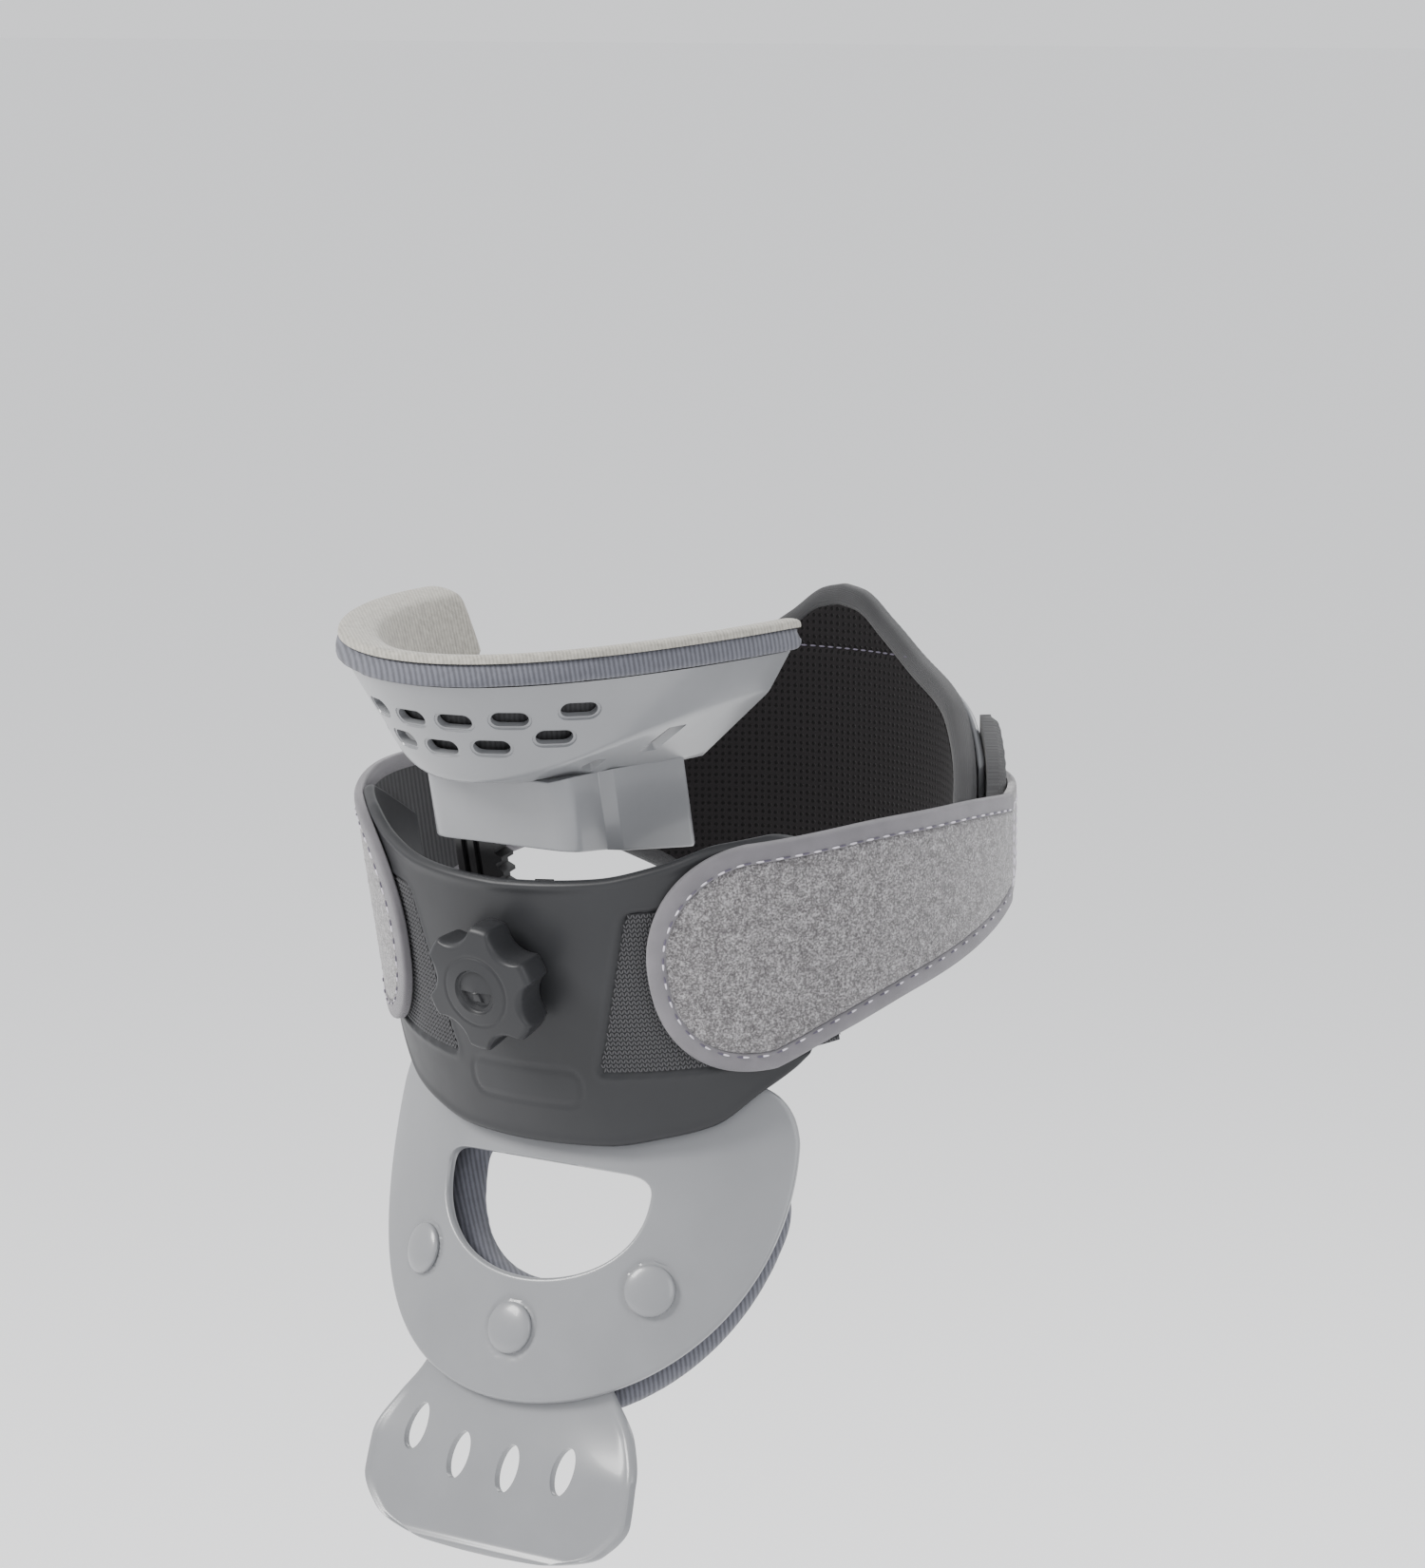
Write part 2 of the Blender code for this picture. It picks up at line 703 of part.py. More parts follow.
def shroudOutline():
    half = [(0, -shroudFace), (shroudHalfFace, -shroudFace), (shroudHalfFace + 4.6, -shroudFace + 1.4),
            (shroudHalfWidth, -shroudFace + 5), (wingHalfWidth - 2, -shroudRear + 12),
            (wingHalfWidth, -wingBack), (wingHalfWidth - wingWall, -wingBack + 0.5),
            (wingHalfWidth - wingWall - 3, -shroudRear + 12), (shroudHalfFace + 2, -shroudRear),
            (0, -shroudRear)]
    return half + [(-x, y) for x, y in reversed(half[1:-1])]


def addShroud(tray, parent):
    outline = shroudOutline()
    top, bottom = [], []
    for x, y in outline:
        foot = shroudFoot + (wingFoot - shroudFoot) * (y + shroudFace) / (shroudFace - wingBack)
        for loop, height in ((top, floorHeight + 1.4), (bottom, foot)):
            loop.append((x, y, (height - y * math.sin(brace)) / math.cos(brace)))
    join(tray, loopSolid("cut_shroud", [bottom, top], parent=parent, cutter=True))
    inside = shroudHalfWidth - shroudWall - 0.4
    front, rear = -shroudFace + shroudWall, -shroudRear - shroudWall
    loop = [(shroudHalfFace - 1, front), (inside, front + 4.4), (inside, rear), (-inside, rear),
            (-inside, front + 4.4), (-shroudHalfFace + 1, front)]
    cut(tray, loopSolid("cut_shroud_cavity", [[(x, y, z) for x, y in loop] for z in (20, shroudCeiling)],
                        parent=parent, cutter=True))
    for index, x in enumerate(rackScrewSpots()):
        cut(tray, rod(f"cut_shroud_hole_{index}", screwRadius + clearance, rear - 1, -shroudRear + 1,
                      parent=parent, centre=(x, shroudCeiling - rackScrewDrop), count=12, cutter=True))


def placeAcross(thing, point, outward, slant=0.0):
    # turns a cutter's Y axis along the outward direction, with its X axis level
    level = Vector((0, 0, 1)).cross(outward).normalized()
    third = level.cross(outward).normalized()
    turn = Matrix((level, outward, -third)).transposed().to_4x4()
    thing.matrix_local = Matrix.Translation(Vector(point) * MM) @ turn @ Matrix.Rotation(slant, 4, "Y")


def slotLoop(length, height):
    # the outline of a slot with round ends, in (x, z)
    reach, radius = length / 2 - height / 2, height / 2
    loop = []
    for side in (1, -1):
        for k in range(5):
            turn = math.pi / 2 - math.pi * k / 4
            loop.append((side * (reach + radius * math.cos(turn)), side * radius * math.sin(turn)))
    return loop


def wallSpot(turn, share):
    # a point of the band and the outward direction there
    here = np.array(creasePoint(turn, share))
    along = np.array(creasePoint(turn + 0.01, share)) - here
    down = np.array(creasePoint(turn, share + 0.01)) - here
    outward = np.cross(down, along)
    return here, Vector(outward / np.linalg.norm(outward))


def turnAtWidth(x, share):
    turn = 0.0
    for _ in range(40):
        turn += (x - creasePoint(turn, share)[0]) / trayHalfWidth
    return turn


def addVents(tray, parent):
    for row, (share, steps) in enumerate(ventRows):
        for index, step in enumerate(steps):
            point, outward = wallSpot(turnAtWidth(step * ventPitch, share), share)
            loop = slotLoop(ventLength, ventHeight)
            vent = loopSolid(f"cut_vent_{row}_{index}", [[(a, y, b) for a, b in loop] for y in (-6, 5)],
                             parent=parent, cutter=True)
            placeAcross(vent, point, outward)
            cut(tray, vent)


def addSideHoles(tray, parent):
    # a five-sided hole and a larger slanted one through each side of the underside
    for side in (-1, 1):
        for index, (degrees, share, width, height) in enumerate(sideHoles):
            turn = side * math.radians(degrees)
            here = np.array(floorPoint(turn, share))
            along = np.array(floorPoint(turn + 0.01, share)) - here
            down = np.array(floorPoint(turn, share + 0.01)) - here
            outward = np.cross(down, along)
            w, h = width / 2, height / 2
            if index:
                loop = [(-w, -h), (w * 0.6, -h), (w, h), (-w * 0.6, h)]
            else:
                loop = [(-w, 0), (-w * 0.3, -h), (w, -h), (w, h), (-w * 0.3, h)]
            hole = loopSolid(f"cut_side_hole_{side}_{index}", [[(side * a, y, b) for a, b in loop]
                                                               for y in (-7, 5)], parent=parent, cutter=True)
            placeAcross(hole, here, Vector(outward / np.linalg.norm(outward)))
            cut(tray, hole)


def addChinTray(parent, slide, plastic):
    outer = trayGrid()
    inner = offsetGrid(outer, trayWall)
    for row, degrees in zip(inner, spread(-90, 90, len(inner))):
        row[0] = rimSection(math.radians(degrees), [(-trayWall * 1.18, 0)])[0]
    tray = gridSolid("chin_tray", inner, outer, plastic, parent)
    addShroud(tray, slide)
    addVents(tray, parent)
    addSideHoles(tray, parent)


def rimSection(turn, section):
    # section points of (outwards from the rim, above the rim), carried round the rim
    x, y, z = rimPoint(turn)
    slope = Vector((math.sin(turn) / trayHalfWidth, -math.cos(turn) / trayLength, 0)).normalized()
    return [(x + slope.x * out, y + slope.y * out, z + up) for out, up in section]


def padLoops(section):
    # round the rim, then straight on past both ends of the tray
    turns = [math.radians(d) for d in spread(-90, 90, 25)]
    loops = [rimSection(t, section(t)) for t in turns]
    first, last = ([(x, y + padEnd, z) for x, y, z in loop] for loop in (loops[0], loops[-1]))
    return [first] + loops + [last]


def padSection(turn):
    # over the rim, down the inside of the band, with room for the cover on top
    depth = padDepth + padDepthInFront * math.cos(turn) ** 2
    out, rise = padOverhang - padSkin * 0.4, padRise - padSkin
    seat = trayWall * 1.18 + clearance + 0.5
    low = -depth
    return [(padOverhang, clearance), (out, rise - 2), (out - 2.2, rise), (-padThickness, rise),
            (-padThickness - 3.5, rise - 4), (-padThickness - 3.5 + low * wallSlope, low),
            (-seat - 0.6 + low * wallSlope, low), (-seat, -1.0), (-seat, clearance)]


def coverSection(turn):
    depth = padDepth + padDepthInFront * math.cos(turn) ** 2
    gap = clearance
    skin = padSkin
    out, rise = padOverhang - skin * 0.4, padRise - skin
    edge = -padThickness - 3.5
    low = -depth + 1
    outer = [(out - 0.8, rise - 1.0 + gap + skin), (out - 2.2, rise + gap + skin),
             (-padThickness - 0.4, rise + gap + skin), (edge - gap - skin, rise - 3.6),
             (edge - gap - skin + low * wallSlope, low)]
    inner = [(edge - gap + low * wallSlope, low), (edge - gap, rise - 3.9),
             (-padThickness - 0.2, rise + gap), (out - 2.1, rise + gap), (out - 1.0, rise - 0.8 + gap)]
    return outer + inner


def addChinPad(parent, foam, fabric):
    loopSolid("chin_pad", padLoops(padSection), foam, parent)
    loopSolid("chin_pad_cover", padLoops(coverSection), fabric, parent)


# ---- chest plate ---------------------------------------------------------------------------------

def onChest(arc, height, depth=0.0):
    turn = arc / chestRadius
    radius = chestRadius - depth
    y = chestCentre - radius * math.cos(turn) - pivotDepth
    return (radius * math.sin(turn), y, height - pivotHeight)


def reachTo(outline, centre, turn):
    # how far a ray from the centre runs before it leaves the outline
    far = 0.0
    dx, dz = math.sin(turn), math.cos(turn)
    for k in range(len(outline)):
        ax, az = outline[k][0] - centre[0], outline[k][1] - centre[1]
        following = outline[(k + 1) % len(outline)]
        bx, bz = following[0] - centre[0], following[1] - centre[1]
        ex, ez = bx - ax, bz - az
        cross = dx * ez - dz * ex
        if abs(cross) > 1e-12:
            along = (ax * ez - az * ex) / cross
            share = (ax * dz - az * dx) / cross
            if along > 0 and -1e-9 <= share <= 1 + 1e-9:
                far = max(far, along)
    return far


def windowOutline(margin=0.0):
    # a D lying on its side: nearly straight on top, round below
    top, half, low = windowTop + margin, windowHalfWidth + margin, windowDepth + margin
    loop = []
    for k in range(25):
        turn = math.radians(-90 + 180 * k / 24)
        x = half * math.sin(turn)
        loop.append((x, top - windowShoulder - (low - windowShoulder) * math.cos(turn) ** 0.9))
    corners = [(half - 0.6, top - 3.0), (half - 3.2, top - 0.6), (half - 7, top), (7 - half, top),
               (3.2 - half, top - 0.6), (0.6 - half, top - 3.0)]
    return loop + corners


def discOutline(radius, centre, top):
    start = math.asin((top - centre) / radius)
    sweep = math.pi + 2 * start
    return [(radius * math.cos(start - sweep * k / 60), centre + radius * math.sin(start - sweep * k / 60))
            for k in range(61)]


def ringGrid(outer, inner, centre, depth, turns):
    # the rows follow the disc's size, so that a flat never sags past the gap behind the plate
    rows = 1 + math.ceil(discRadius / ringStep)
    grid = []
    for turn in turns:
        far, near = reachTo(outer, centre, turn), reachTo(inner, centre, turn)
        grid.append([onChest(centre[0] + r * math.sin(turn), centre[1] + r * math.cos(turn), depth)
                     for r in spread(near, far, rows)])
    return grid


def ringTurns(*outlines):
    # even steps, plus the directions of the sharp corners of the outlines
    turns = [math.radians(360 * k / 56) for k in range(56)]
    for outline in outlines:
        for x, z in outline:
            turn = math.atan2(x, z - windowCentre) % (2 * math.pi)
            nearest = min(range(len(turns)), key=lambda k: abs(math.remainder(turns[k] - turn, 2 * math.pi)))
            turns[nearest] = turn
    return sorted(set(turns))


def cutPlateSteps(plate, parent):
    # the hidden top edge steps down for the hinge lugs, and again for the rack
    for index, (half, low) in enumerate(plateSteps):
        cut(plate, block(f"cut_plate_step_{index}", (-half, half), (-30, 30),
                         (low - pivotHeight, plateTop - pivotHeight + 12 + index), parent=parent,
                         cutter=True))


def addPlateLug(side, word, plate, parent):
    # a slanted lug, round about the pivot and rooted in the plate below the steps of its top edge
    turns = [math.radians(135 - 195 * k / 12) for k in range(13)]
    loop = [(lugRadius * math.cos(a), lugRadius * math.sin(a)) for a in turns]
    root = onChest(lugInner + lugWall, 0, plateWall)[1] - plateWall * 0.55
    loop += [(root, -lugLength), (root, -lugLength + lugRootHeight)]
    xs = (side * lugInner, side * (lugInner + lugWall))
    lug = loopSolid("cut_plate_lug_" + word, [[(x, y, z) for y, z in loop] for x in xs], parent=parent,
                    cutter=True)
    # the exact solver leaves open edges where the left lug leaves the curved plate
    combine(plate, lug, "UNION", "MANIFOLD")
    cut(plate, crossRod("cut_plate_pin_" + word, pinRadius + clearance, side * (lugInner - 2),
                        side * (lugInner + lugWall + 0.1), (0, 0), parent=parent, cutter=True))


def addHingePins(parent, steel):
    for side, word in ((-1, "right"), (1, "left")):
        start = lugInner - clearance
        end = lugInner + 2 * lugWall + 2 * clearance
        levels = ((pinRadius + 1.6, start - 1.6), (pinRadius + 1.6, start), (pinRadius, start),
                  (pinRadius, end), (pinRadius + 1.3, end), (pinRadius + 1.3, end + 1.2))
        loops = [[(side * x, y, z) for y, z in circle(radius, 12)] for radius, x in levels]
        loopSolid("hinge_pin_" + word, loops, steel, parent)


def studFrame(parent, index, spot):
    # an axis through the plate at a stud, with its Y axis inwards
    x, y, z = onChest(*spot)
    frame = bpy.data.objects.new(f"stud_frame_{index}", None)
    bpy.context.scene.collection.objects.link(frame)
    frame.parent = parent
    frame.location = Vector((x, y, z)) * MM
    frame.rotation_euler = (0, 0, spot[0] / chestRadius)
    return frame


def addStuds(parent, plate, pad, extension, plastic, steel):
    words = ("right", "center", "left")
    for index, spot in enumerate(capSpots):
        frame = studFrame(parent, index, spot)
        reach = plateWall + extensionWall + 2 * extensionGap + chestPadThickness
        dome = ((2.0, -2.6), (4.6, -2.2), (studCapRadius, -1.0), (studCapRadius, -clearance),
                (studRadius, -clearance), (studRadius, reach + 1.9))
        turned("chest_cap_" + words[index], dome, plastic, frame, count=20)
        for target, word, near, far in ((plate, "plate", -1, plateWall + 0.6), (pad, "pad", 2, reach + 4),
                                        (extension, "extension", 2, reach - 6)):
            if target is extension and index != 1:
                continue
            cut(target, rod(f"cut_stud_{word}_{index}", studRadius + clearance, near, far, parent=frame,
                            count=14, cutter=True))
        seat = reach + 0.7
        bore, top = studRadius + clearance, seat + washerThickness
        ring = ((bore, seat), (washerRadius, seat), (washerRadius, top), (bore, top))
        turned("stud_washer_" + words[index], ring, steel, frame, count=14, closed=True)


def extensionPoint(x, height, depth):
    # follows the plate where it lies behind it and flattens out below its lower edge
    _, y, z = onChest(x, height, depth)
    flat = onChest(0, height, depth)[1]
    start, end = extensionFlatten
    share = 1 - 0.75 * smoothStep(plateBottom - height, start, end)
    return (x, flat + (y - flat) * share, z)


def addExtension(parent, plastic):
    half = curveThrough([(-z, x) for x, z in extensionOutline if x > 0] + [(-extensionOutline[-1][1], 4.0)])
    front = plateWall + extensionGap
    back = front + extensionWall
    heights = spread(extensionTop, -160, 5) + spread(-165, -205, 8) + [-209, -212, -213.4, -214]
    grids = []
    for depth in (back, front):
        rows = []
        for height in heights:
            width = half(-height)
            rows.append([extensionPoint(x, height, depth) for x in spread(-width, width, 7)])
        grids.append(rows)
    extension = gridSolid("chest_extension", grids[0], grids[1], plastic, parent)
    for index, (x, height, slant) in enumerate(slotSpots):
        loop = [(slotWidth / 2 * x, slotLength / 2 * z) for x, z in circle(1.0, 16)]
        middle = extensionPoint(x, height, front)
        slot = loopSolid(f"cut_slot_{index}", [[(a, y, b) for a, b in loop] for y in (-8, 8)],
                         parent=parent, cutter=True)
        slot.location = Vector(middle) * MM
        slot.rotation_euler = (0, math.radians(slant), 0)
        cut(extension, slot)
    return extension


def addChest(parent, plastic, foam, steel):
    centre = (0.0, windowCentre)
    window = windowOutline()
    outline = discOutline(discRadius, discCentre, plateTop)
    turns = ringTurns([outline[0], outline[60]], window[-6:])
    grids = [ringGrid(outline, window, centre, depth, turns) for depth in (plateWall, 0)]
    plate = gridSolid("chest_plate", grids[0], grids[1], plastic, parent, closed=True)
    cutPlateSteps(plate, parent)
    extension = addExtension(parent, plastic)
    front = plateWall + extensionWall + 2 * extensionGap
    window = windowOutline(windowMargin)
    outline = discOutline(chestPadRadius, discCentre - 2, chestPadTop)
    turns = ringTurns([outline[0], outline[60]], window[-6:])
    grids = [ringGrid(outline, window, centre, depth, turns)
             for depth in (front + chestPadThickness, front)]
    pad = gridSolid("chest_pad", grids[0], grids[1], foam, parent, closed=True)
    for side, word in ((-1, "right"), (1, "left")):
        addPlateLug(side, word, plate, parent)
    addStuds(parent, plate, pad, extension, plastic, steel)


# ---- wrap straps ---------------------------------------------------------------------------------

strapTopAt = curveThrough(strapTop)
strapBottomAt = curveThrough(strapBottom)


def strapEdges(phi, inset):
    # heights of the lower and upper edge; the free end is round
    if phi >= strapRound:
        low, high = strapBottomAt(phi), strapTopAt(phi)
    else:
        share = min((strapRound - phi) / (strapRound - strapTip), 1.0)
        high = strapMiddle + strapUpper * math.sqrt(max(1 - share ** 2, 0))
        low = strapMiddle + (strapBottom[0][1] - strapMiddle) * max(1 - share ** 2.4, 0) ** (1 / 2.4)
    return low + inset, high - inset


def strapPoint(side, phi, z, radius):
    # leans with the front panel in front and stands upright at the rear
    x, y, z = onRing(phi, z, radius)
    leaning = toWorld(y, z, brace)
    share = smoothStep(phi, uprightFrom, uprightTo)
    depth = leaning[0] + (y - leaning[0]) * share
    return (side * x, depth, leaning[1])


def strapHinge(side):
    # on the outer face of the seam, so that the strap folds outwards clear of its anchor
    outer = panelRadius + clearance + bindingThickness
    x, y, _ = strapPoint(side, strapSeam, 0, outer)
    return (x, y, 0.0)


def bindingLoop(inset, end):
    # the strap's outline, from the seam along the top to the free end and back below
    count = 26
    tip = strapTip + math.degrees(inset / panelRadius)
    phis = [tip + (end - tip) * (1 - math.cos(math.pi / 2 * k / count)) for k in range(count, -1, -1)]
    upper = []
    lower = []
    for phi in phis:
        share = max(0.0, (phi - tip) / (strapRound - tip)) if phi < strapRound else 1.0
        low, high = strapEdges(strapTip + (strapRound - strapTip) * share if phi < strapRound else phi, 0)
        middle = (low + high) / 2
        half = (high - low) / 2
        reach = half * (1 - inset / strapHalfHeight) if phi < strapRound else half - inset
        upper.append((phi, middle + reach))
        lower.append((phi, middle - reach))
    return upper, lower


def addStrap(side, word, root, fabric, trim):
    hinge = makeFrame("strap_hinge_" + word, strapHinge(side), parent=root)
    hx, hy, hz = strapHinge(side)

    def local(phi, z, radius):
        x, y, z = strapPoint(side, phi, z, radius)
        return (x - hx, y - hy, z - hz)
    base = panelRadius + clearance
    end = strapSeam - 0.2
    upper, lower = bindingLoop(bindingWidth + clearance, end)
    grids = []
    for radius in (base, base + strapThickness):
        rows = []
        for (phi, high), (_, low) in zip(upper[:-1], lower[:-1]):
            rows.append([local(phi, z, radius) for z in spread(low, high, 7)])
        grids.append(rows)
    gridSolid("strap_" + word, grids[0], grids[1], fabric, hinge)
    outerUpper, outerLower = bindingLoop(0, end)
    innerUpper, innerLower = bindingLoop(bindingWidth, end)
    outer = outerUpper + outerLower[::-1][1:]
    inner = innerUpper + innerLower[::-1][1:]
    sections = []
    for (phiOut, zOut), (phiIn, zIn) in zip(outer, inner):
        sections.append([local(phiOut, zOut, base), local(phiOut, zOut, base + bindingThickness),
                         local(phiIn, zIn, base + bindingThickness), local(phiIn, zIn, base)])
    loopSolid("strap_binding_" + word, sections, trim, hinge)
    addAnchor(side, word, root, fabric)


def addAnchor(side, word, root, fabric):
    # the strap's sewn end, on the rear panel's pocket
    base = panelRadius + clearance
    start, end = strapSeam + 0.2, 180 - anchorEnd
    grids = []
    for radius in (base, base + strapThickness):
        rows = []
        for phi in spread(start, end, 10):
            low, high = strapEdges(min(phi, strapSeam), 0)
            taper = (phi - start) * anchorTaper
            rows.append([strapPoint(side, phi, z, radius) for z in spread(low + taper, high - taper, 4)])
        grids.append(rows)
    gridSolid("strap_anchor_" + word, grids[0], grids[1], fabric, root)


# ---- rear panel ----------------------------------------------------------------------------------

rearTopAt = curveThrough(rearTop)
rearBottomAt = curveThrough(rearBottom)


def rearGrid(radius, inset, half=rearHalfAngle, rows=5):
    reach = half - math.degrees(inset / rearPadInner)
    grid = []
    for theta in spread(-reach, reach, 27):
        top, bottom = rearTopAt(abs(theta)) - inset, rearBottomAt(abs(theta)) + inset
        grid.append([onRear(theta, z, radius) for z in spread(bottom, top, rows)])
    return grid


def rearLoop(inset):
    reach = rearHalfAngle - math.degrees(inset / rearPadInner)
    thetas = spread(-reach, reach, 27)
    upper = [(t, rearTopAt(abs(t)) - inset) for t in thetas]
    lower = [(t, rearBottomAt(abs(t)) + inset) for t in reversed(thetas)]
    return upper + lower


def addRear(root, foam, mesh, trim, plastic, fabric):
    padOuter = rearPadInner + rearPadThickness
    inset = rearBindingWidth + clearance
    gridSolid("rear_pad", rearGrid(rearPadInner, inset), rearGrid(padOuter, inset), foam, root)
    skin = rearPadInner - clearance
    gridSolid("rear_lining", rearGrid(skin - liningThickness, inset), rearGrid(skin, inset), mesh, root)
    sections = []
    inner, outer = skin - liningThickness, padOuter
    for (thetaOut, zOut), (thetaIn, zIn) in zip(rearLoop(0), rearLoop(rearBindingWidth)):
        sections.append([onRear(thetaOut, zOut, inner + 1.5), onRear(thetaOut, zOut, outer - 1.0),
                         onRear(thetaIn, zIn, outer), onRear(thetaIn, zIn, inner)])
    loopSolid("rear_binding", sections, trim, root, capped=False)
    plateIn = padOuter + clearance
    gridSolid("rear_plate", rearGrid(plateIn, rearPlateInset, rearPlateHalfAngle, 4),
              rearGrid(plateIn + rearPlateThickness, rearPlateInset, rearPlateHalfAngle, 4), plastic, root)
    pocketIn = plateIn + rearPlateThickness + clearance
    for side, word in ((-1, "right"), (1, "left")):
        grids = []
        for radius in (pocketIn, panelRadius):
            rows = []
            for theta in spread(*pocketSpan, 8):
                limit = min(theta, rearHalfAngle)
                rows.append([onRear(side * theta, z, radius)
                             for z in spread(rearBottomAt(limit) + 1, rearTopAt(limit) - 1, 3)])
            grids.append(rows)
        gridSolid("rear_pocket_" + word, grids[0], grids[1], fabric, root)


# ---- assembly ------------------------------------------------------------------------------------

def build():
    clearScene()
    lightPlastic = makeMaterial("light_grey_plastic", (0.40, 0.415, 0.43), 0.28)
    darkPlastic = makeMaterial("dark_grey_plastic", (0.092, 0.094, 0.098), 0.42)
    blackPlastic = makeMaterial("black_plastic", (0.02, 0.02, 0.021), 0.35)
    steel = makeMaterial("steel", (0.55, 0.55, 0.56), 0.3, 1.0)
    acetal = makeMaterial("acetal", (0.72, 0.71, 0.67), 0.4)
    hook = makeMaterial("hook_tape", (0.07, 0.07, 0.074), 0.8)
    loopFabric = makeMaterial("loop_fabric", (0.35, 0.34, 0.345), 0.95)
    bindingTape = makeMaterial("binding_tape", (0.30, 0.28, 0.30), 0.6)
    padFoam = makeMaterial("laminated_foam", (0.19, 0.195, 0.24), 0.9)
    chinFabric = makeMaterial("chin_fabric", (0.51, 0.50, 0.44), 0.9)
    meshFabric = makeMaterial("mesh_lining", (0.016, 0.014, 0.016), 0.85)
    ribbedTape = makeMaterial("ribbed_tape", (0.06, 0.065, 0.07), 0.8)

    root = makeFrame("collar")
    braceFrame = makeFrame("brace_frame", lean=brace, parent=root)
    knobAxis = makeFrame("knob_axis", (0, 0, knobHeight), parent=braceFrame)
    chinSlide = makeFrame("chin_slide", parent=braceFrame)
    chinFrame = makeFrame("chin_frame", parent=root)
    chestPivot = (0, *toWorld(pivotDepth, pivotHeight, chest))
    chestHinge = makeFrame("chest_hinge", chestPivot, lean=chest, parent=root)

    addFrontPanel(braceFrame, darkPlastic, hook)
    addKnob(knobAxis, darkPlastic, darkPlastic, steel)
    addShaft(knobAxis, steel, acetal)
    addBushAndSpring(knobAxis, acetal, steel)
    addHousing(braceFrame, blackPlastic, steel)
    addRack(chinSlide, blackPlastic, steel)
    addChinTray(chinFrame, chinSlide, lightPlastic)
    addChinPad(chinFrame, padFoam, chinFabric)
    addChest(chestHinge, lightPlastic, padFoam, steel)
    addHingePins(chestHinge, steel)
    for side, word in ((-1, "right"), (1, "left")):
        addStrap(side, word, root, loopFabric, bindingTape)
    addRear(root, padFoam, meshFabric, ribbedTape, lightPlastic, ribbedTape)


build()
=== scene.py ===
import json
import math

import bpy
import bmesh
import numpy as np
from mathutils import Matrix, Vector, noise


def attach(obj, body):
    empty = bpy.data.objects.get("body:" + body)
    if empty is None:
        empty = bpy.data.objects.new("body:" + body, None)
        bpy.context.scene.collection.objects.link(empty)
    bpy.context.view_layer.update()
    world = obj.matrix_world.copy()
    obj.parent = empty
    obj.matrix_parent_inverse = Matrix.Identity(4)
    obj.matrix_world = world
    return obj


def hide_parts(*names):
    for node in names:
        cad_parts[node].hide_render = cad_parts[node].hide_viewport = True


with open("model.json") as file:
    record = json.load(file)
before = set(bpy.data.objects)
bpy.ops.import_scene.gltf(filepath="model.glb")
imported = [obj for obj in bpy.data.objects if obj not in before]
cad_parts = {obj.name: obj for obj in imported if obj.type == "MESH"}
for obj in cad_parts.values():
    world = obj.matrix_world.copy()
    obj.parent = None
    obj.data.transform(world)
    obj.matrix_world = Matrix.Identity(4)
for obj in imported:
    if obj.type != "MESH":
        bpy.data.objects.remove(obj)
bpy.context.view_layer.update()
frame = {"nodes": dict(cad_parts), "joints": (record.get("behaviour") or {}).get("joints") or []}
nodes = frame["nodes"]
mm = 0.001
print("frame loaded,", len(nodes), "nodes")

# The brace leans forward with the front panel, the chest plate leans back. Sizes are in millimetres.
ring = {"braceLean": 12.5, "chestLean": -17.0, "radius": 98.0, "wall": 3.0}
braceLean = math.radians(ring["braceLean"])
chestLean = math.radians(ring["chestLean"])


def leaned(point, lean):
    x, y, z = point
    return (x, y * math.cos(lean) - z * math.sin(lean), y * math.sin(lean) + z * math.cos(lean))


def onRing(phi, z, radius, lean=braceLean):
    a = math.radians(phi)
    return leaned((radius * math.sin(a), -radius * math.cos(a), z), lean)


def onRear(theta, z, radius):
    a = math.radians(theta)
    return (radius * math.sin(a), radius * math.cos(a), z)


def spread(start, end, count):
    return [float(v) for v in np.linspace(start, end, count)]


def ease(x, start, end):
    s = min(max((x - start) / (end - start), 0.0), 1.0)
    return s * s * (3 - 2 * s)


def bump(x, width):
    return math.exp(-(x / width) ** 2)


def roundedEdge(distance, radius):
    # how far a surface drops back near its edge
    d = min(max(distance, 0.0), radius)
    return radius - math.sqrt(max(radius ** 2 - (radius - d) ** 2, 0.0))


def curveThrough(points):
    xs = np.array([p[0] for p in points], float)
    ys = np.array([p[1] for p in points], float)
    steps = np.diff(ys) / np.diff(xs)
    slopes = np.zeros(len(xs))
    slopes[0], slopes[-1] = steps[0], steps[-1]
    for i in range(1, len(xs) - 1):
        if steps[i - 1] * steps[i] > 0:
            slopes[i] = 2 * steps[i - 1] * steps[i] / (steps[i - 1] + steps[i])

    def value(x):
        x = min(max(x, xs[0]), xs[-1])
        i = min(int(np.searchsorted(xs, x, side="right")) - 1, len(xs) - 2)
        h = xs[i + 1] - xs[i]
        s = (x - xs[i]) / h
        return float(ys[i] * (1 + 2 * s) * (1 - s) ** 2 + ys[i + 1] * s * s * (3 - 2 * s)
                     + h * s * (1 - s) * (slopes[i] * (1 - s) - slopes[i + 1] * s))
    return value


def boxDistance(x, z, halfX, halfZ, corner):
    # signed distance to a rounded rectangle, negative inside
    dx, dz = abs(x) - halfX + corner, abs(z) - halfZ + corner
    return math.hypot(max(dx, 0), max(dz, 0)) + min(max(dx, dz), 0) - corner


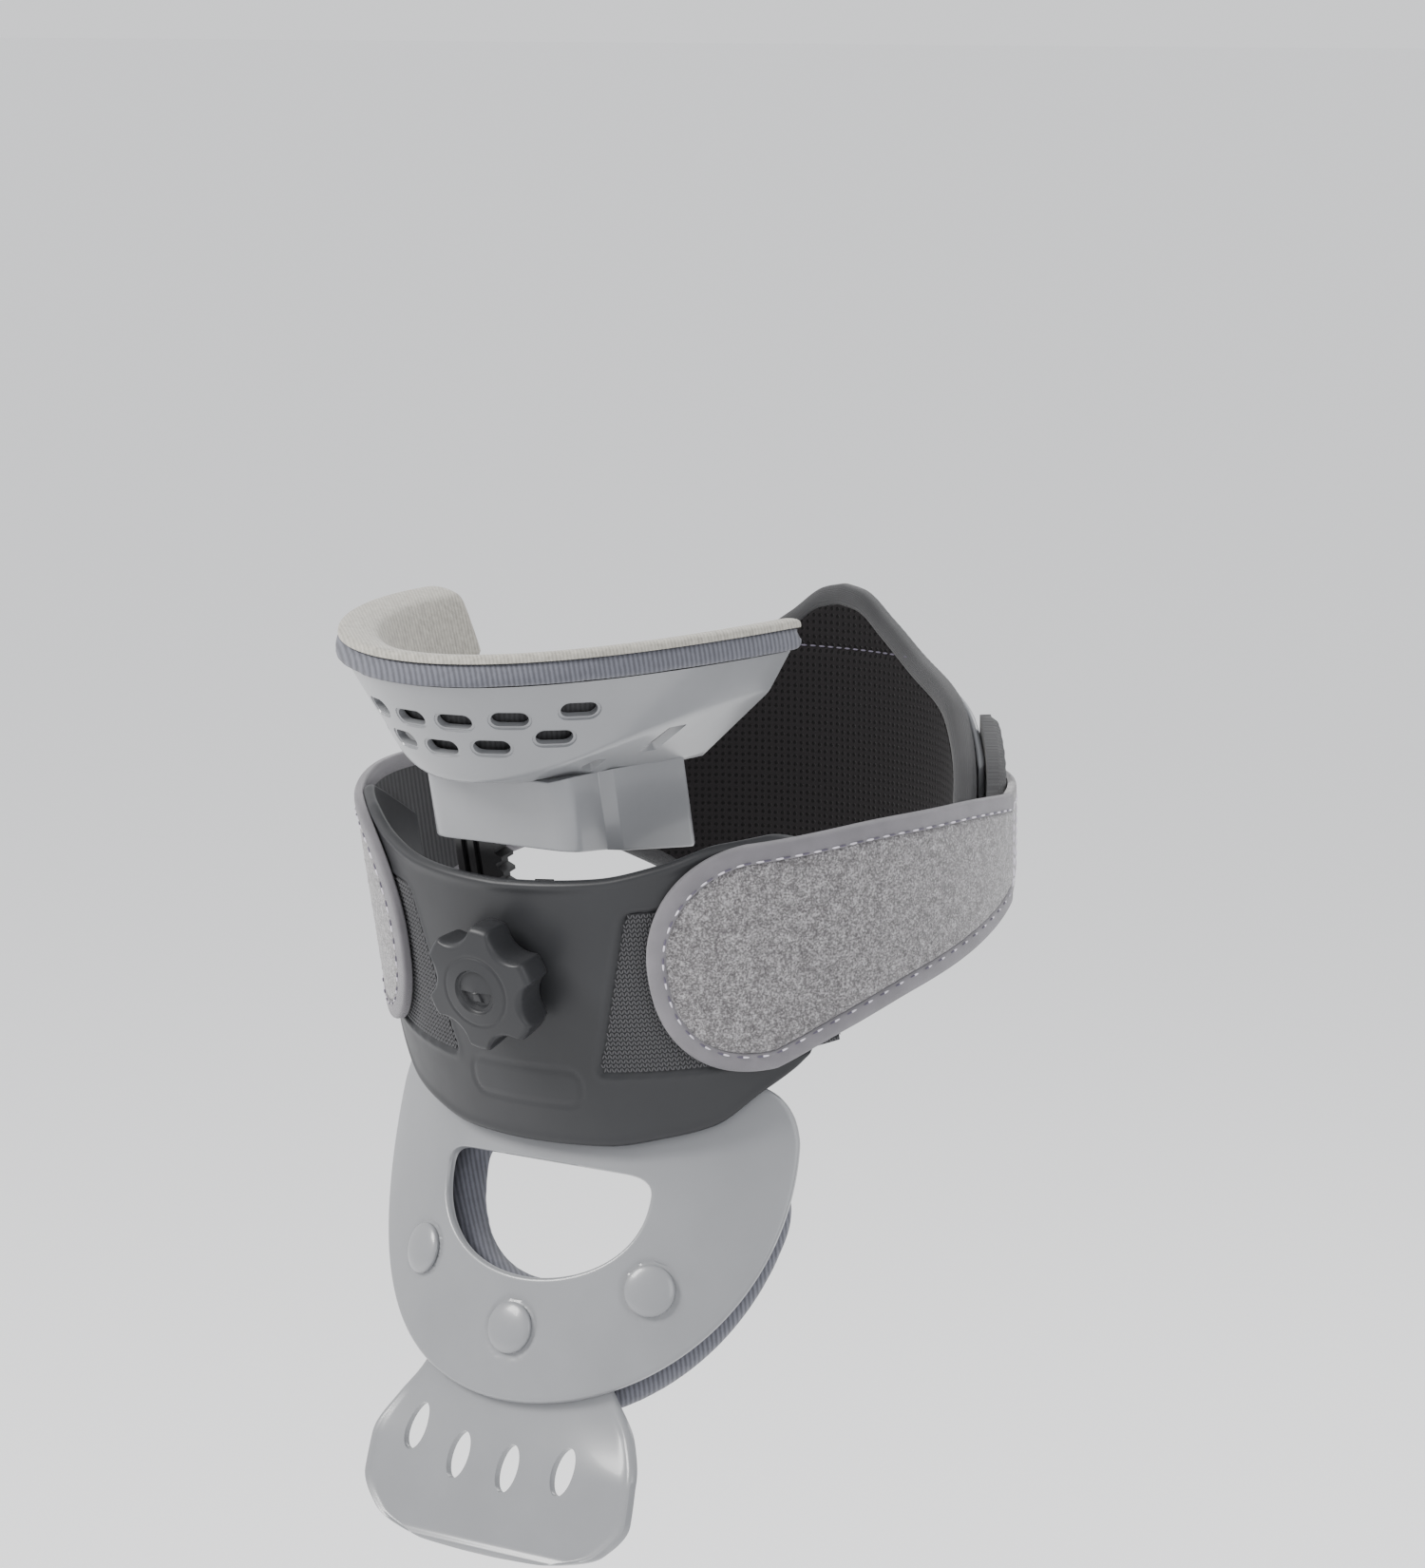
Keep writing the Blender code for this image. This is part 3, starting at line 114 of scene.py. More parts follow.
def makeObject(name, points, faces, finish, weave=None, angle=40):
    mesh = bpy.data.meshes.new(name)
    mesh.from_pydata([(p[0] * mm, p[1] * mm, p[2] * mm) for p in points], [], faces)
    if weave is not None:
        layer = mesh.attributes.new("weave", "FLOAT_VECTOR", "POINT")
        layer.data.foreach_set("vector", [c for w in weave for c in w])
    work = bmesh.new()
    work.from_mesh(mesh)
    bmesh.ops.remove_doubles(work, verts=work.verts, dist=1e-7)
    bmesh.ops.recalc_face_normals(work, faces=work.faces)
    work.to_mesh(mesh)
    work.free()
    mesh.shade_smooth()
    mesh.set_sharp_from_angle(angle=math.radians(angle))
    piece = bpy.data.objects.new(name, mesh)
    bpy.context.scene.collection.objects.link(piece)
    if finish:
        mesh.materials.append(finish)
    return piece


def shell(name, inner, outer, finish=None, closed=False, weave=None, angle=40):
    # a wall between two equal grids of points; closed joins the first direction into a loop
    rows, columns = len(inner), len(inner[0])
    points = [p for row in outer for p in row] + [p for row in inner for p in row]
    marks = None
    if weave:
        flat = [w for row in weave for w in row]
        marks = flat + flat
    base = rows * columns

    def at(i, j, side):
        return side * base + (i % rows) * columns + j
    faces = []
    for i in range(rows if closed else rows - 1):
        for j in range(columns - 1):
            faces.append((at(i, j, 0), at(i + 1, j, 0), at(i + 1, j + 1, 0), at(i, j + 1, 0)))
            faces.append((at(i, j, 1), at(i, j + 1, 1), at(i + 1, j + 1, 1), at(i + 1, j, 1)))
        for j in (0, columns - 1):
            faces.append((at(i, j, 0), at(i + 1, j, 0), at(i + 1, j, 1), at(i, j, 1)))
    if not closed:
        for i in (0, rows - 1):
            for j in range(columns - 1):
                faces.append((at(i, j, 0), at(i, j + 1, 0), at(i, j + 1, 1), at(i, j, 1)))
    return makeObject(name, points, faces, finish, marks, angle)


def sheet(name, columns, rowsAt, finish, angle=60):
    # a wall between two grids; rowsAt gives each column's (outer point, inner point, weave mark)
    grids = [[list(row) for row in zip(*rowsAt(column))] for column in columns]
    outer, inner, weave = (list(grid) for grid in zip(*grids))
    return shell(name, inner, outer, finish, weave=weave, angle=angle)


def sweep(name, loops, finish, capped=True, weave=None, angle=40):
    # a skin over a row of equal sections
    count = len(loops[0])
    points = [p for loop in loops for p in loop]
    marks = [w for row in weave for w in row] if weave else None
    faces = []
    for k in range(len(loops) - 1 if capped else len(loops)):
        a, b = k * count, ((k + 1) % len(loops)) * count
        for i in range(count):
            j = (i + 1) % count
            faces.append((a + i, a + j, b + j, b + i))
    if capped:
        faces.append(tuple(range(count)))
        faces.append(tuple(range((len(loops) - 1) * count, len(loops) * count)))
    return makeObject(name, points, faces, finish, marks, angle)


def applied(piece):
    # bakes the live modifiers into a plain mesh
    depsgraph = bpy.context.evaluated_depsgraph_get()
    mesh = bpy.data.meshes.new_from_object(piece.evaluated_get(depsgraph))
    piece.modifiers.clear()
    piece.data = mesh
    return piece


def cutWith(piece, cutters):
    # takes closed cutters out of a piece, then drops them
    for cutter in cutters:
        modifier = piece.modifiers.new(cutter.name, "BOOLEAN")
        modifier.operation = "DIFFERENCE"
        modifier.object = cutter
        modifier.solver = "EXACT"
    bpy.context.view_layer.update()
    applied(piece)
    for cutter in cutters:
        bpy.data.objects.remove(cutter)
    piece.data.shade_smooth()
    piece.data.set_sharp_from_angle(angle=math.radians(38))
    return piece


def paintWhere(piece, finish, test):
    # a second finish on the faces whose middle and normal pass the test
    piece.data.materials.append(finish)
    for face in piece.data.polygons:
        if test(face.center / mm, face.normal):
            face.material_index = 1


def settle(piece, body, slot, *replaced):
    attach(piece, body)
    if replaced:
        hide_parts(*replaced)
    return piece


def startFinish(name, colour, roughness, metallic=0.0):
    material = bpy.data.materials.new(name)
    material.use_nodes = True
    tree = material.node_tree
    shader = tree.nodes["Principled BSDF"]
    shader.inputs["Base Color"].default_value = (*colour, 1)
    shader.inputs["Roughness"].default_value = roughness
    shader.inputs["Metallic"].default_value = metallic
    return material, tree, shader


def coordinates(tree, woven=False):
    if woven:
        source = tree.nodes.new("ShaderNodeAttribute")
        source.attribute_name = "weave"
        return source.outputs["Vector"]
    return tree.nodes.new("ShaderNodeTexCoord").outputs["Object"]


def noiseNode(tree, place, scale, detail=3.0, roughness=0.55):
    node = tree.nodes.new("ShaderNodeTexNoise")
    node.inputs["Scale"].default_value = scale
    node.inputs["Detail"].default_value = detail
    node.inputs["Roughness"].default_value = roughness
    tree.links.new(place, node.inputs["Vector"])
    return node.outputs["Fac"]


def waveNode(tree, place, scale, direction="X", distortion=0.0):
    node = tree.nodes.new("ShaderNodeTexWave")
    node.bands_direction = direction
    node.inputs["Scale"].default_value = scale
    node.inputs["Distortion"].default_value = distortion
    tree.links.new(place, node.inputs["Vector"])
    return node.outputs["Fac"]


def rampNode(tree, factor, stops):
    node = tree.nodes.new("ShaderNodeValToRGB")
    ramp = node.color_ramp
    while len(ramp.elements) < len(stops):
        ramp.elements.new(0.5)
    for element, (position, colour) in zip(ramp.elements, stops):
        element.position = position
        element.color = (*colour, 1)
    tree.links.new(factor, node.inputs["Fac"])
    return node.outputs["Color"]


def mathNode(tree, operation, first, second):
    node = tree.nodes.new("ShaderNodeMath")
    node.operation = operation
    for socket, value in zip(node.inputs, (first, second)):
        if isinstance(value, (int, float)):
            socket.default_value = value
        else:
            tree.links.new(value, socket)
    return node.outputs["Value"]


def bumpNode(tree, shader, height, strength, distance):
    node = tree.nodes.new("ShaderNodeBump")
    node.inputs["Strength"].default_value = strength
    node.inputs["Distance"].default_value = distance
    tree.links.new(height, node.inputs["Height"])
    tree.links.new(node.outputs["Normal"], shader.inputs["Normal"])


def shades(colour, low, high):
    return [(0.3, tuple(c * low for c in colour)), (0.7, tuple(min(c * high, 1) for c in colour))]


def mouldedPlastic(name, colour, roughness, grain, coat=0.0, shine=0.5):
    # smooth moulded plastic: faint cloudiness in colour and gloss, and a very fine grain
    material, tree, shader = startFinish(name, colour, roughness)
    place = coordinates(tree)
    cloud = noiseNode(tree, place, 38, 4)
    tree.links.new(rampNode(tree, cloud, shades(colour, 0.95, 1.05)), shader.inputs["Base Color"])
    fine = noiseNode(tree, place, 900, 2)
    rough = tree.nodes.new("ShaderNodeMapRange")
    rough.inputs["To Min"].default_value = roughness * 0.88
    rough.inputs["To Max"].default_value = roughness * 1.15
    tree.links.new(noiseNode(tree, place, 120, 5), rough.inputs["Value"])
    tree.links.new(rough.outputs["Result"], shader.inputs["Roughness"])
    shader.inputs["Specular IOR Level"].default_value = shine
    shader.inputs["Coat Weight"].default_value = coat
    shader.inputs["Coat Roughness"].default_value = 0.12
    bumpNode(tree, shader, fine, grain, 0.00008)
    return material


def loopPile(name, colour):
    # brushed loop fabric: a tangle of darker flecks and pale flecks; the pale flecks are painted highlight,
    # glints on the fibres painted into the colour
    material, tree, shader = startFinish(name, colour, 0.92)
    place = coordinates(tree)
    fleckAndGlintNoise = noiseNode(tree, place, 1500, 5, 0.7)
    clumps = noiseNode(tree, place, 420, 3, 0.6)
    mixed = mathNode(tree, "ADD", mathNode(tree, "MULTIPLY", fleckAndGlintNoise, 0.75),
                     mathNode(tree, "MULTIPLY", clumps, 0.25))
    # the pale last stop is painted highlight: fibre glints painted into the colour
    stops = [(0.36, tuple(c * 0.42 for c in colour)), (0.48, colour), (0.62, (0.36, 0.35, 0.355))]
    tree.links.new(rampNode(tree, mixed, stops), shader.inputs["Base Color"])
    shader.inputs["Sheen Weight"].default_value = 0.35
    shader.inputs["Sheen Roughness"].default_value = 0.5
    bumpNode(tree, shader, mixed, 0.9, 0.0005)
    return material


def tapeWeave(name, colour, ribs, roughness=0.62):
    # folded tape: fine ribs across its width
    material, tree, shader = startFinish(name, colour, roughness)
    place = coordinates(tree, woven=True)
    across = waveNode(tree, place, ribs, "X")
    along = waveNode(tree, place, ribs * 0.8, "Y")
    height = mathNode(tree, "MULTIPLY", mathNode(tree, "ADD", across, 0.3),
                      mathNode(tree, "ADD", along, 0.4))
    tree.links.new(rampNode(tree, noiseNode(tree, coordinates(tree), 90, 4), shades(colour, 0.86, 1.12)),
                   shader.inputs["Base Color"])
    shader.inputs["Sheen Weight"].default_value = 0.2
    bumpNode(tree, shader, height, 0.55, 0.00025)
    return material


def ribbedKnit(name, colour, ribs, fuzz, ribShare=0.45):
    # laminated knit over foam: close ribs, with small light and dark flecks
    material, tree, shader = startFinish(name, colour, 0.9)
    upright = tree.nodes.new("ShaderNodeMapping")
    upright.inputs["Scale"].default_value = (1.0, 1.0, 0.2)
    tree.links.new(coordinates(tree), upright.inputs["Vector"])
    rib = waveNode(tree, upright.outputs["Vector"], ribs, "DIAGONAL", 0.8)
    fleck = noiseNode(tree, coordinates(tree), 520, 4, 0.7)
    mixed = mathNode(tree, "ADD", mathNode(tree, "MULTIPLY", rib, ribShare),
                     mathNode(tree, "MULTIPLY", fleck, 1 - ribShare))
    tree.links.new(rampNode(tree, mixed, shades(colour, 0.72, 1.3)), shader.inputs["Base Color"])
    shader.inputs["Sheen Weight"].default_value = fuzz
    bumpNode(tree, shader, mixed, 0.6, 0.0004)
    return material


def meshLining(name, colour):
    # breathable lining: rows of small punched dots
    material, tree, shader = startFinish(name, colour, 0.86)
    place = coordinates(tree, woven=True)
    cells = tree.nodes.new("ShaderNodeTexVoronoi")
    cells.inputs["Scale"].default_value = 0.42
    cells.inputs["Randomness"].default_value = 0.12
    tree.links.new(place, cells.inputs["Vector"])
    dots = rampNode(tree, cells.outputs["Distance"], [(0.20, (0.0, 0.0, 0.0)), (0.34, (1.0, 1.0, 1.0))])
    colours = rampNode(tree, dots,
                       [(0.1, tuple(c * 0.25 for c in colour)), (0.9, tuple(c * 1.6 for c in colour))])
    tree.links.new(colours, shader.inputs["Base Color"])
    shader.inputs["Sheen Weight"].default_value = 0.04
    shader.inputs["Specular IOR Level"].default_value = 0.15
    bumpNode(tree, shader, dots, 0.8, 0.0006)
    return material


def brushedMetal(name, colour):
    material, tree, shader = startFinish(name, colour, 0.3, 1.0)
    scratch = noiseNode(tree, coordinates(tree), 1400, 3)
    tree.links.new(rampNode(tree, scratch, shades(colour, 0.85, 1.1)), shader.inputs["Base Color"])
    bumpNode(tree, shader, scratch, 0.15, 0.00005)
    return material


# Each finish is named for what it stands for; kept frame pieces use the black, acetal and steel.
finishes = {
    "light": mouldedPlastic("lightPlastic", (0.186, 0.190, 0.199), 0.30, 0.05, 0.30),
    "dark": mouldedPlastic("darkPlastic", (0.022, 0.0225, 0.0245), 0.42, 0.16, 0.0, 0.26),
    "black": mouldedPlastic("blackPlastic", (0.017, 0.017, 0.018), 0.36, 0.12),
    "acetal": mouldedPlastic("acetalPlastic", (0.72, 0.71, 0.67), 0.36, 0.08),
    "steel": brushedMetal("brightSteel", (0.6, 0.6, 0.61)),
    # loop pile: its pale flecks are painted highlight
    "loop": loopPile("loopPile", (0.110, 0.103, 0.106)),
    "binding": tapeWeave("bindingTape", (0.150, 0.142, 0.156), 1.4),
    "paleThread": tapeWeave("paleThread", (0.55, 0.52, 0.58), 6.0),
    "darkThread": tapeWeave("darkThread", (0.06, 0.05, 0.08), 6.0),
    "padEdge": ribbedKnit("padEdgeKnit", (0.088, 0.090, 0.108), 300, 0.1),
    "padFace": ribbedKnit("chinKnit", (0.30, 0.285, 0.25), 420, 0.15, 0.2),
    "hook": ribbedKnit("hookTape", (0.020, 0.020, 0.022), 300, 0.05),
    # hook loops: their paler grey than the hook tape is painted highlight
    "hookLoopPaintedHighlight": mouldedPlastic("hookLoopPaintedHighlight", (0.085, 0.085, 0.089), 0.5, 0.05, 0.0, 0.25),
    "mesh": meshLining("meshLining", (0.0045, 0.0038, 0.0042)),
    "ribbed": tapeWeave("ribbedTape", (0.018, 0.018, 0.020), 1.1, 0.8),
}
print("finishes ready")


def newTree(name, inputs):
    tree = bpy.data.node_groups.new(name, "GeometryNodeTree")
    tree.interface.new_socket("Geometry", in_out="INPUT", socket_type="NodeSocketGeometry")
    sockets = {}
    for label, (kind, value) in inputs.items():
        socket = tree.interface.new_socket(label, in_out="INPUT", socket_type=kind)
        if value is not None:
            socket.default_value = value
        sockets[label] = socket.identifier
    tree.interface.new_socket("Geometry", in_out="OUTPUT", socket_type="NodeSocketGeometry")
    start = tree.nodes.new("NodeGroupInput")
    end = tree.nodes.new("NodeGroupOutput")
    return tree, sockets, start, end


def finishTree(tree, start, end, geometry):
    realize = tree.nodes.new("GeometryNodeRealizeInstances")
    paint = tree.nodes.new("GeometryNodeSetMaterial")
    tree.links.new(geometry, realize.inputs["Geometry"])
    tree.links.new(realize.outputs["Geometry"], paint.inputs["Geometry"])
    tree.links.new(start.outputs["Finish"], paint.inputs["Material"])
    tree.links.new(paint.outputs["Geometry"], end.inputs["Geometry"])


def placeBalls(tree, start, end, points, direction, segments, rings):
    # one stretched ball on each point, its length along the direction
    ball = tree.nodes.new("GeometryNodeMeshUVSphere")
    ball.inputs["Segments"].default_value = segments
    ball.inputs["Rings"].default_value = rings
    ball.inputs["Radius"].default_value = 0.5
    turn = tree.nodes.new("FunctionNodeAlignRotationToVector")
    turn.axis = "Z"
    size = tree.nodes.new("ShaderNodeCombineXYZ")
    place = tree.nodes.new("GeometryNodeInstanceOnPoints")
    link = tree.links.new
    link(points, place.inputs["Points"])
    link(direction, turn.inputs["Vector"])
    link(ball.outputs["Mesh"], place.inputs["Instance"])
    link(turn.outputs["Rotation"], place.inputs["Rotation"])
    for axis, label in (("X", "Thickness"), ("Y", "Thickness"), ("Z", "Length")):
        link(start.outputs[label], size.inputs[axis])
    link(size.outputs["Vector"], place.inputs["Scale"])
    finishTree(tree, start, end, place.outputs["Instances"])


def makeStitchTree():
    # short thread ends along a path, each lying along it
    tree, sockets, start, end = newTree("stitchTree", {
        "Pitch": ("NodeSocketFloat", 0.006), "Start": ("NodeSocketFloat", 0.0),
        "Length": ("NodeSocketFloat", 0.0028), "Thickness": ("NodeSocketFloat", 0.0008),
        "Finish": ("NodeSocketMaterial", None)})
    curve = tree.nodes.new("GeometryNodeMeshToCurve")
    trim = tree.nodes.new("GeometryNodeTrimCurve")
    trim.mode = "LENGTH"
    points = tree.nodes.new("GeometryNodeCurveToPoints")
    points.mode = "LENGTH"
    link = tree.links.new
    link(start.outputs["Geometry"], curve.inputs["Mesh"])
    link(curve.outputs["Curve"], trim.inputs["Curve"])
    link(start.outputs["Start"], trim.inputs[4])
    trim.inputs[5].default_value = 10.0
    link(trim.outputs["Curve"], points.inputs["Curve"])
    link(start.outputs["Pitch"], points.inputs["Length"])
    placeBalls(tree, start, end, points.outputs["Points"], points.outputs["Tangent"], 8, 6)
    return tree, sockets


def makeHookTree():
    # one small loop on each point, lying along the direction stored there
    tree, sockets, start, end = newTree("hookTree", {
        "Length": ("NodeSocketFloat", 0.0015), "Thickness": ("NodeSocketFloat", 0.0005),
        "Finish": ("NodeSocketMaterial", None)})
    points = tree.nodes.new("GeometryNodeMeshToPoints")
    along = tree.nodes.new("GeometryNodeInputNamedAttribute")
    along.data_type = "FLOAT_VECTOR"
    along.inputs["Name"].default_value = "weave"
    tree.links.new(start.outputs["Geometry"], points.inputs["Mesh"])
    placeBalls(tree, start, end, points.outputs["Points"], along.outputs["Attribute"], 6, 4)
    return tree, sockets


def realised(piece, built, values):
    tree, sockets = built
    modifier = piece.modifiers.new(tree.name, "NODES")
    modifier.node_group = tree
    for label, value in values.items():
        modifier[sockets[label]] = value
    bpy.context.view_layer.update()
    return applied(piece)


stitchTree = makeStitchTree()
hookTree = makeHookTree()


def addStitches(name, path, body, slot, finish, start=0.0, pitch=6.0, length=2.7, thickness=0.62):
    mesh = bpy.data.meshes.new(name)
    edges = [(i, i + 1) for i in range(len(path) - 1)]
    mesh.from_pydata([tuple(c * mm for c in p) for p in path], edges, [])
    piece = bpy.data.objects.new(name, mesh)
    bpy.context.scene.collection.objects.link(piece)
    realised(piece, stitchTree, {"Pitch": pitch * mm, "Start": start * mm, "Length": length * mm,
                                 "Thickness": thickness * mm, "Finish": finish})
    return settle(piece, body, slot)


panel = {
    "halfAngle": 78.0,
    "top": ((0, 39.5), (20, 40.5), (32, 43.7), (43, 47.6), (51, 47.6), (60, 42.0), (70, 32.0), (78, 22.0)),
    "bottom": ((0, -46.0), (15, -46.0), (26, -43.7), (35, -41.0), (44, -32.6), (51, -26.5), (60, -15.5),
               (78, -8.0)),
    "edge": 1.3, "lip": 0.55, "labelHalf": 20.5, "labelTop": -21.0, "labelBottom": -32.5,
    "labelGroove": 0.42, "hookTop": 30.0, "hookBottom": -22.0, "hookInnerTop": 24.3, "hookInnerBottom": 15.5,
    "hookOuter": 60.0, "hookDepth": 1.1,
}
hook = {"column": 0.82, "rise": 1.5, "tilt": 25, "length": 1.55, "thickness": 0.46}
perDegree = math.pi * ring["radius"] / 180
panelTopAt = curveThrough(panel["top"])
panelBottomAt = curveThrough(panel["bottom"])


def hookStart(z):
    # the angle at which a hook patch begins, at one height
    share = (z - panel["hookBottom"]) / (panel["hookTop"] - panel["hookBottom"])
    return panel["hookInnerBottom"] + (panel["hookInnerTop"] - panel["hookInnerBottom"]) * share


def hookDistance(phi, z):
    # signed distance to the hook patch's outline, negative inside
    start = hookStart(z)
    sides = ((start - abs(phi)) * perDegree * 0.96, (abs(phi) - panel["hookOuter"]) * perDegree,
             panel["hookBottom"] - z, z - panel["hookTop"])
    corner = 3.0
    outside = [max(s + corner, 0) for s in sides]
    beyond = math.hypot(max(outside[0], outside[1]), max(outside[2], outside[3]))
    return beyond + min(max(sides) + corner, 0) - corner


def panelSurface(phi, z, top, bottom):
    # the radius of the outer face, with its lips, label recess and hook recesses
    edge = min(top - z, z - bottom, (panel["halfAngle"] - abs(phi)) * perDegree)
    radius = ring["radius"] - roundedEdge(edge, panel["edge"])
    radius += panel["lip"] * (bump(top - z - 1.6, 1.5) + 0.5 * bump(z - bottom - 1.6, 1.5))
    middle = (panel["labelTop"] + panel["labelBottom"]) / 2
    label = boxDistance(phi * perDegree, z - middle, panel["labelHalf"], panel["labelTop"] - middle, 4.5)
    radius -= panel["labelGroove"] * bump(label, 0.62)
    hook = hookDistance(phi, z)
    return radius - panel["hookDepth"] * (1 - ease(hook, -0.3, 0.5)) + 0.25 * bump(hook - 1.2, 0.8)


def addPanel():
    outer, inner = [], []
    for phi in spread(-panel["halfAngle"], panel["halfAngle"], 321):
        top, bottom = panelTopAt(abs(phi)), panelBottomAt(abs(phi))
        heights = [bottom + (top - bottom) * (0.5 - 0.5 * math.cos(math.pi * k / 95)) * 0.35
                   + (top - bottom) * 0.65 * k / 95 for k in range(96)]
        outer.append([onRing(phi, z, panelSurface(phi, z, top, bottom)) for z in heights])
        back = ring["radius"] - ring["wall"]
        inner.append([onRing(phi, z, back + roundedEdge(min(top - z, z - bottom), 0.9)) for z in heights])
    piece = shell("panel_shell", inner, outer, finishes["dark"], angle=60)
    settle(piece, "ring", "dark_plastic", "front_panel")
    addPanelLugs()


def addPanelLugs():
    # the lugs and screw posts inside the panel, taken from the frame's own solid
    mesh = nodes["front_panel"].data.copy()
    work = bmesh.new()
    work.from_mesh(mesh)
    bmesh.ops.remove_doubles(work, verts=work.verts, dist=1e-6)
    limit = (ring["radius"] - ring["wall"]) * mm - 0.00002
    away = []
    for face in work.faces:
        radii = []
        for vertex in face.verts:
            radii.append(math.hypot(*leaned(vertex.co, -braceLean)[:2]))
        if min(radii) > limit:
            away.append(face)
    bmesh.ops.delete(work, geom=away, context="FACES")
    bmesh.ops.holes_fill(work, edges=work.edges, sides=0)
    bmesh.ops.recalc_face_normals(work, faces=work.faces)
    work.to_mesh(mesh)
    work.free()
    mesh.materials.clear()
    mesh.materials.append(finishes["dark"])
    piece = bpy.data.objects.new("panel_lugs", mesh)
    bpy.context.scene.collection.objects.link(piece)
    settle(piece, "ring", "dark_plastic")


def addHooks(side, word):
    # a woven ground in the recess, with columns of small slanted loops on it; the loops' paler grey is
    # painted highlight
    base = ring["radius"] - panel["hookDepth"] + 0.25

    def rowsAt(share):
        for z in spread(panel["hookBottom"] + 0.6, panel["hookTop"] - 0.6, 58):
            start = hookStart(z) + 0.3
            phi = start + (panel["hookOuter"] - start) * share
            yield (onRing(side * phi, z, base + 0.12), onRing(side * phi, z, base - 0.2),
                   (phi * 1.7, z, 0.0))
    ground = sheet("hook_ground_" + word, spread(0.012, 0.99, 50), rowsAt, finishes["hook"], 40)
    settle(ground, "ring", "hook_tape", "hook_patch_" + word)
    points, directions = [], []
    height = panel["hookTop"] - panel["hookBottom"]
    for z in spread(panel["hookBottom"] + 1.4, panel["hookTop"] - 1.4, round(height / hook["rise"])):
        start = hookStart(z)
        for column in range(int((panel["hookOuter"] - start) * perDegree / hook["column"])):
            phi = panel["hookOuter"] - (column + 0.9) * hook["column"] / perDegree
            if hookDistance(phi, z) > -0.7:
                continue
            tilt = math.radians(hook["tilt"]) * (1 if column % 2 else -1)
            points.append(onRing(side * phi, z, base + 0.3))
            level = side * phi + math.degrees(math.sin(tilt) * 0.5 / ring["radius"])
            ahead = onRing(level, z + math.cos(tilt) * 0.5, base + 0.3)
            directions.append(tuple(ahead[k] - points[-1][k] for k in range(3)))
    loops = makeObject("hook_loops_" + word, points, [], None, weave=directions)
    # the loops take the paler grey finish, a painted highlight
    realised(loops, hookTree, {"Finish": finishes["hookLoopPaintedHighlight"], "Length": hook["length"] * mm,
                               "Thickness": hook["thickness"] * mm})
    loops.data.shade_smooth()
    settle(loops, "ring", "hook_tape")


addPanel()
for side, word in ((-1, "right"), (1, "left")):
    addHooks(side, word)
print("front panel done")


knob = {"height": 9.6, "radius": 20.0, "valley": 15.6, "scallop": 9.0, "lobes": 6, "phase": 8.6,
        "soft": 0.55, "back": 101.0, "face": 112.4, "crown": 115.4, "edge": 1.8, "ringRadius": 11.1,
        "dishRadius": 6.8, "around": 240}


def knobEdge(turn):
    # a disc with round scallops bitten out of it, and soft corners between them
    lobe = math.radians(360 / knob["lobes"])
    away = math.remainder(turn - math.radians(knob["phase"]) - lobe / 2, lobe)
    centre = knob["valley"] + knob["scallop"]
    inside = knob["scallop"] ** 2 - (centre * math.sin(away)) ** 2
    if inside <= 0:
        return knob["radius"]
    bite = centre * math.cos(away) - math.sqrt(inside)
    soft = knob["soft"]
    return -soft * math.log(math.exp(-knob["radius"] / soft) + math.exp(-bite / soft))


def knobFaceAt(radius, turn, reach):
    # how far the face stands out at one point: a low cone, a faint ring, the dish and its recess
    out = knob["crown"] - (knob["crown"] - knob["face"]) * radius / knob["radius"]
    out -= roundedEdge(reach - radius, knob["edge"])
    out -= 0.28 * bump(radius - knob["ringRadius"], 0.45)
    out -= 1.3 * (1 - ease(radius, knob["dishRadius"] - 0.35, knob["dishRadius"] + 0.35))
    x, z = radius * math.cos(turn), radius * math.sin(turn)
    half = max(math.hypot(x, z) - 5.3, z + 0.4)
    out -= 1.1 * (1 - ease(half, -0.3, 0.3))
    wedge = max(abs(x) - 0.9 + 0.25 * (z + 0.4), -z - 3.4, z + 0.2)
    return out + 0.9 * (1 - ease(wedge, -0.2, 0.25))


def knobPoint(radius, turn, out):
    # turn runs from +X towards up, seen from the front
    return leaned((radius * math.cos(turn), -out, radius * math.sin(turn) + knob["height"]), braceLean)


def addKnob():
    turns = [2 * math.pi * k / knob["around"] for k in range(knob["around"])]
    loops = []
    profile = ((0.25, 0.0), (0.90, 0.0), (0.945, 0.6), (0.965, 1.6), (0.985, 5.0), (1.0, 8.4))
    for scale, rise in profile:
        loops.append([knobPoint(knobEdge(math.pi / 2 - t) * scale, t, knob["back"] + rise) for t in turns])
    for share in [1 - (k / 78) ** 1.25 for k in range(0, 78)]:
        loop = []
        for t in turns:
            reach = knobEdge(math.pi / 2 - t)
            blend = ease(share, 0.62, 0.86)
            radius = share * (reach * blend + knob["radius"] * 0.9 * (1 - blend))
            loop.append(knobPoint(radius, t, knobFaceAt(radius, t, reach)))
        loops.append(loop)
    piece = sweep("knob_body", loops, finishes["dark"], angle=60)
    settle(piece, "knob_drive", "dark_plastic", "knob", "knob_cap")


addKnob()
print("knob done")


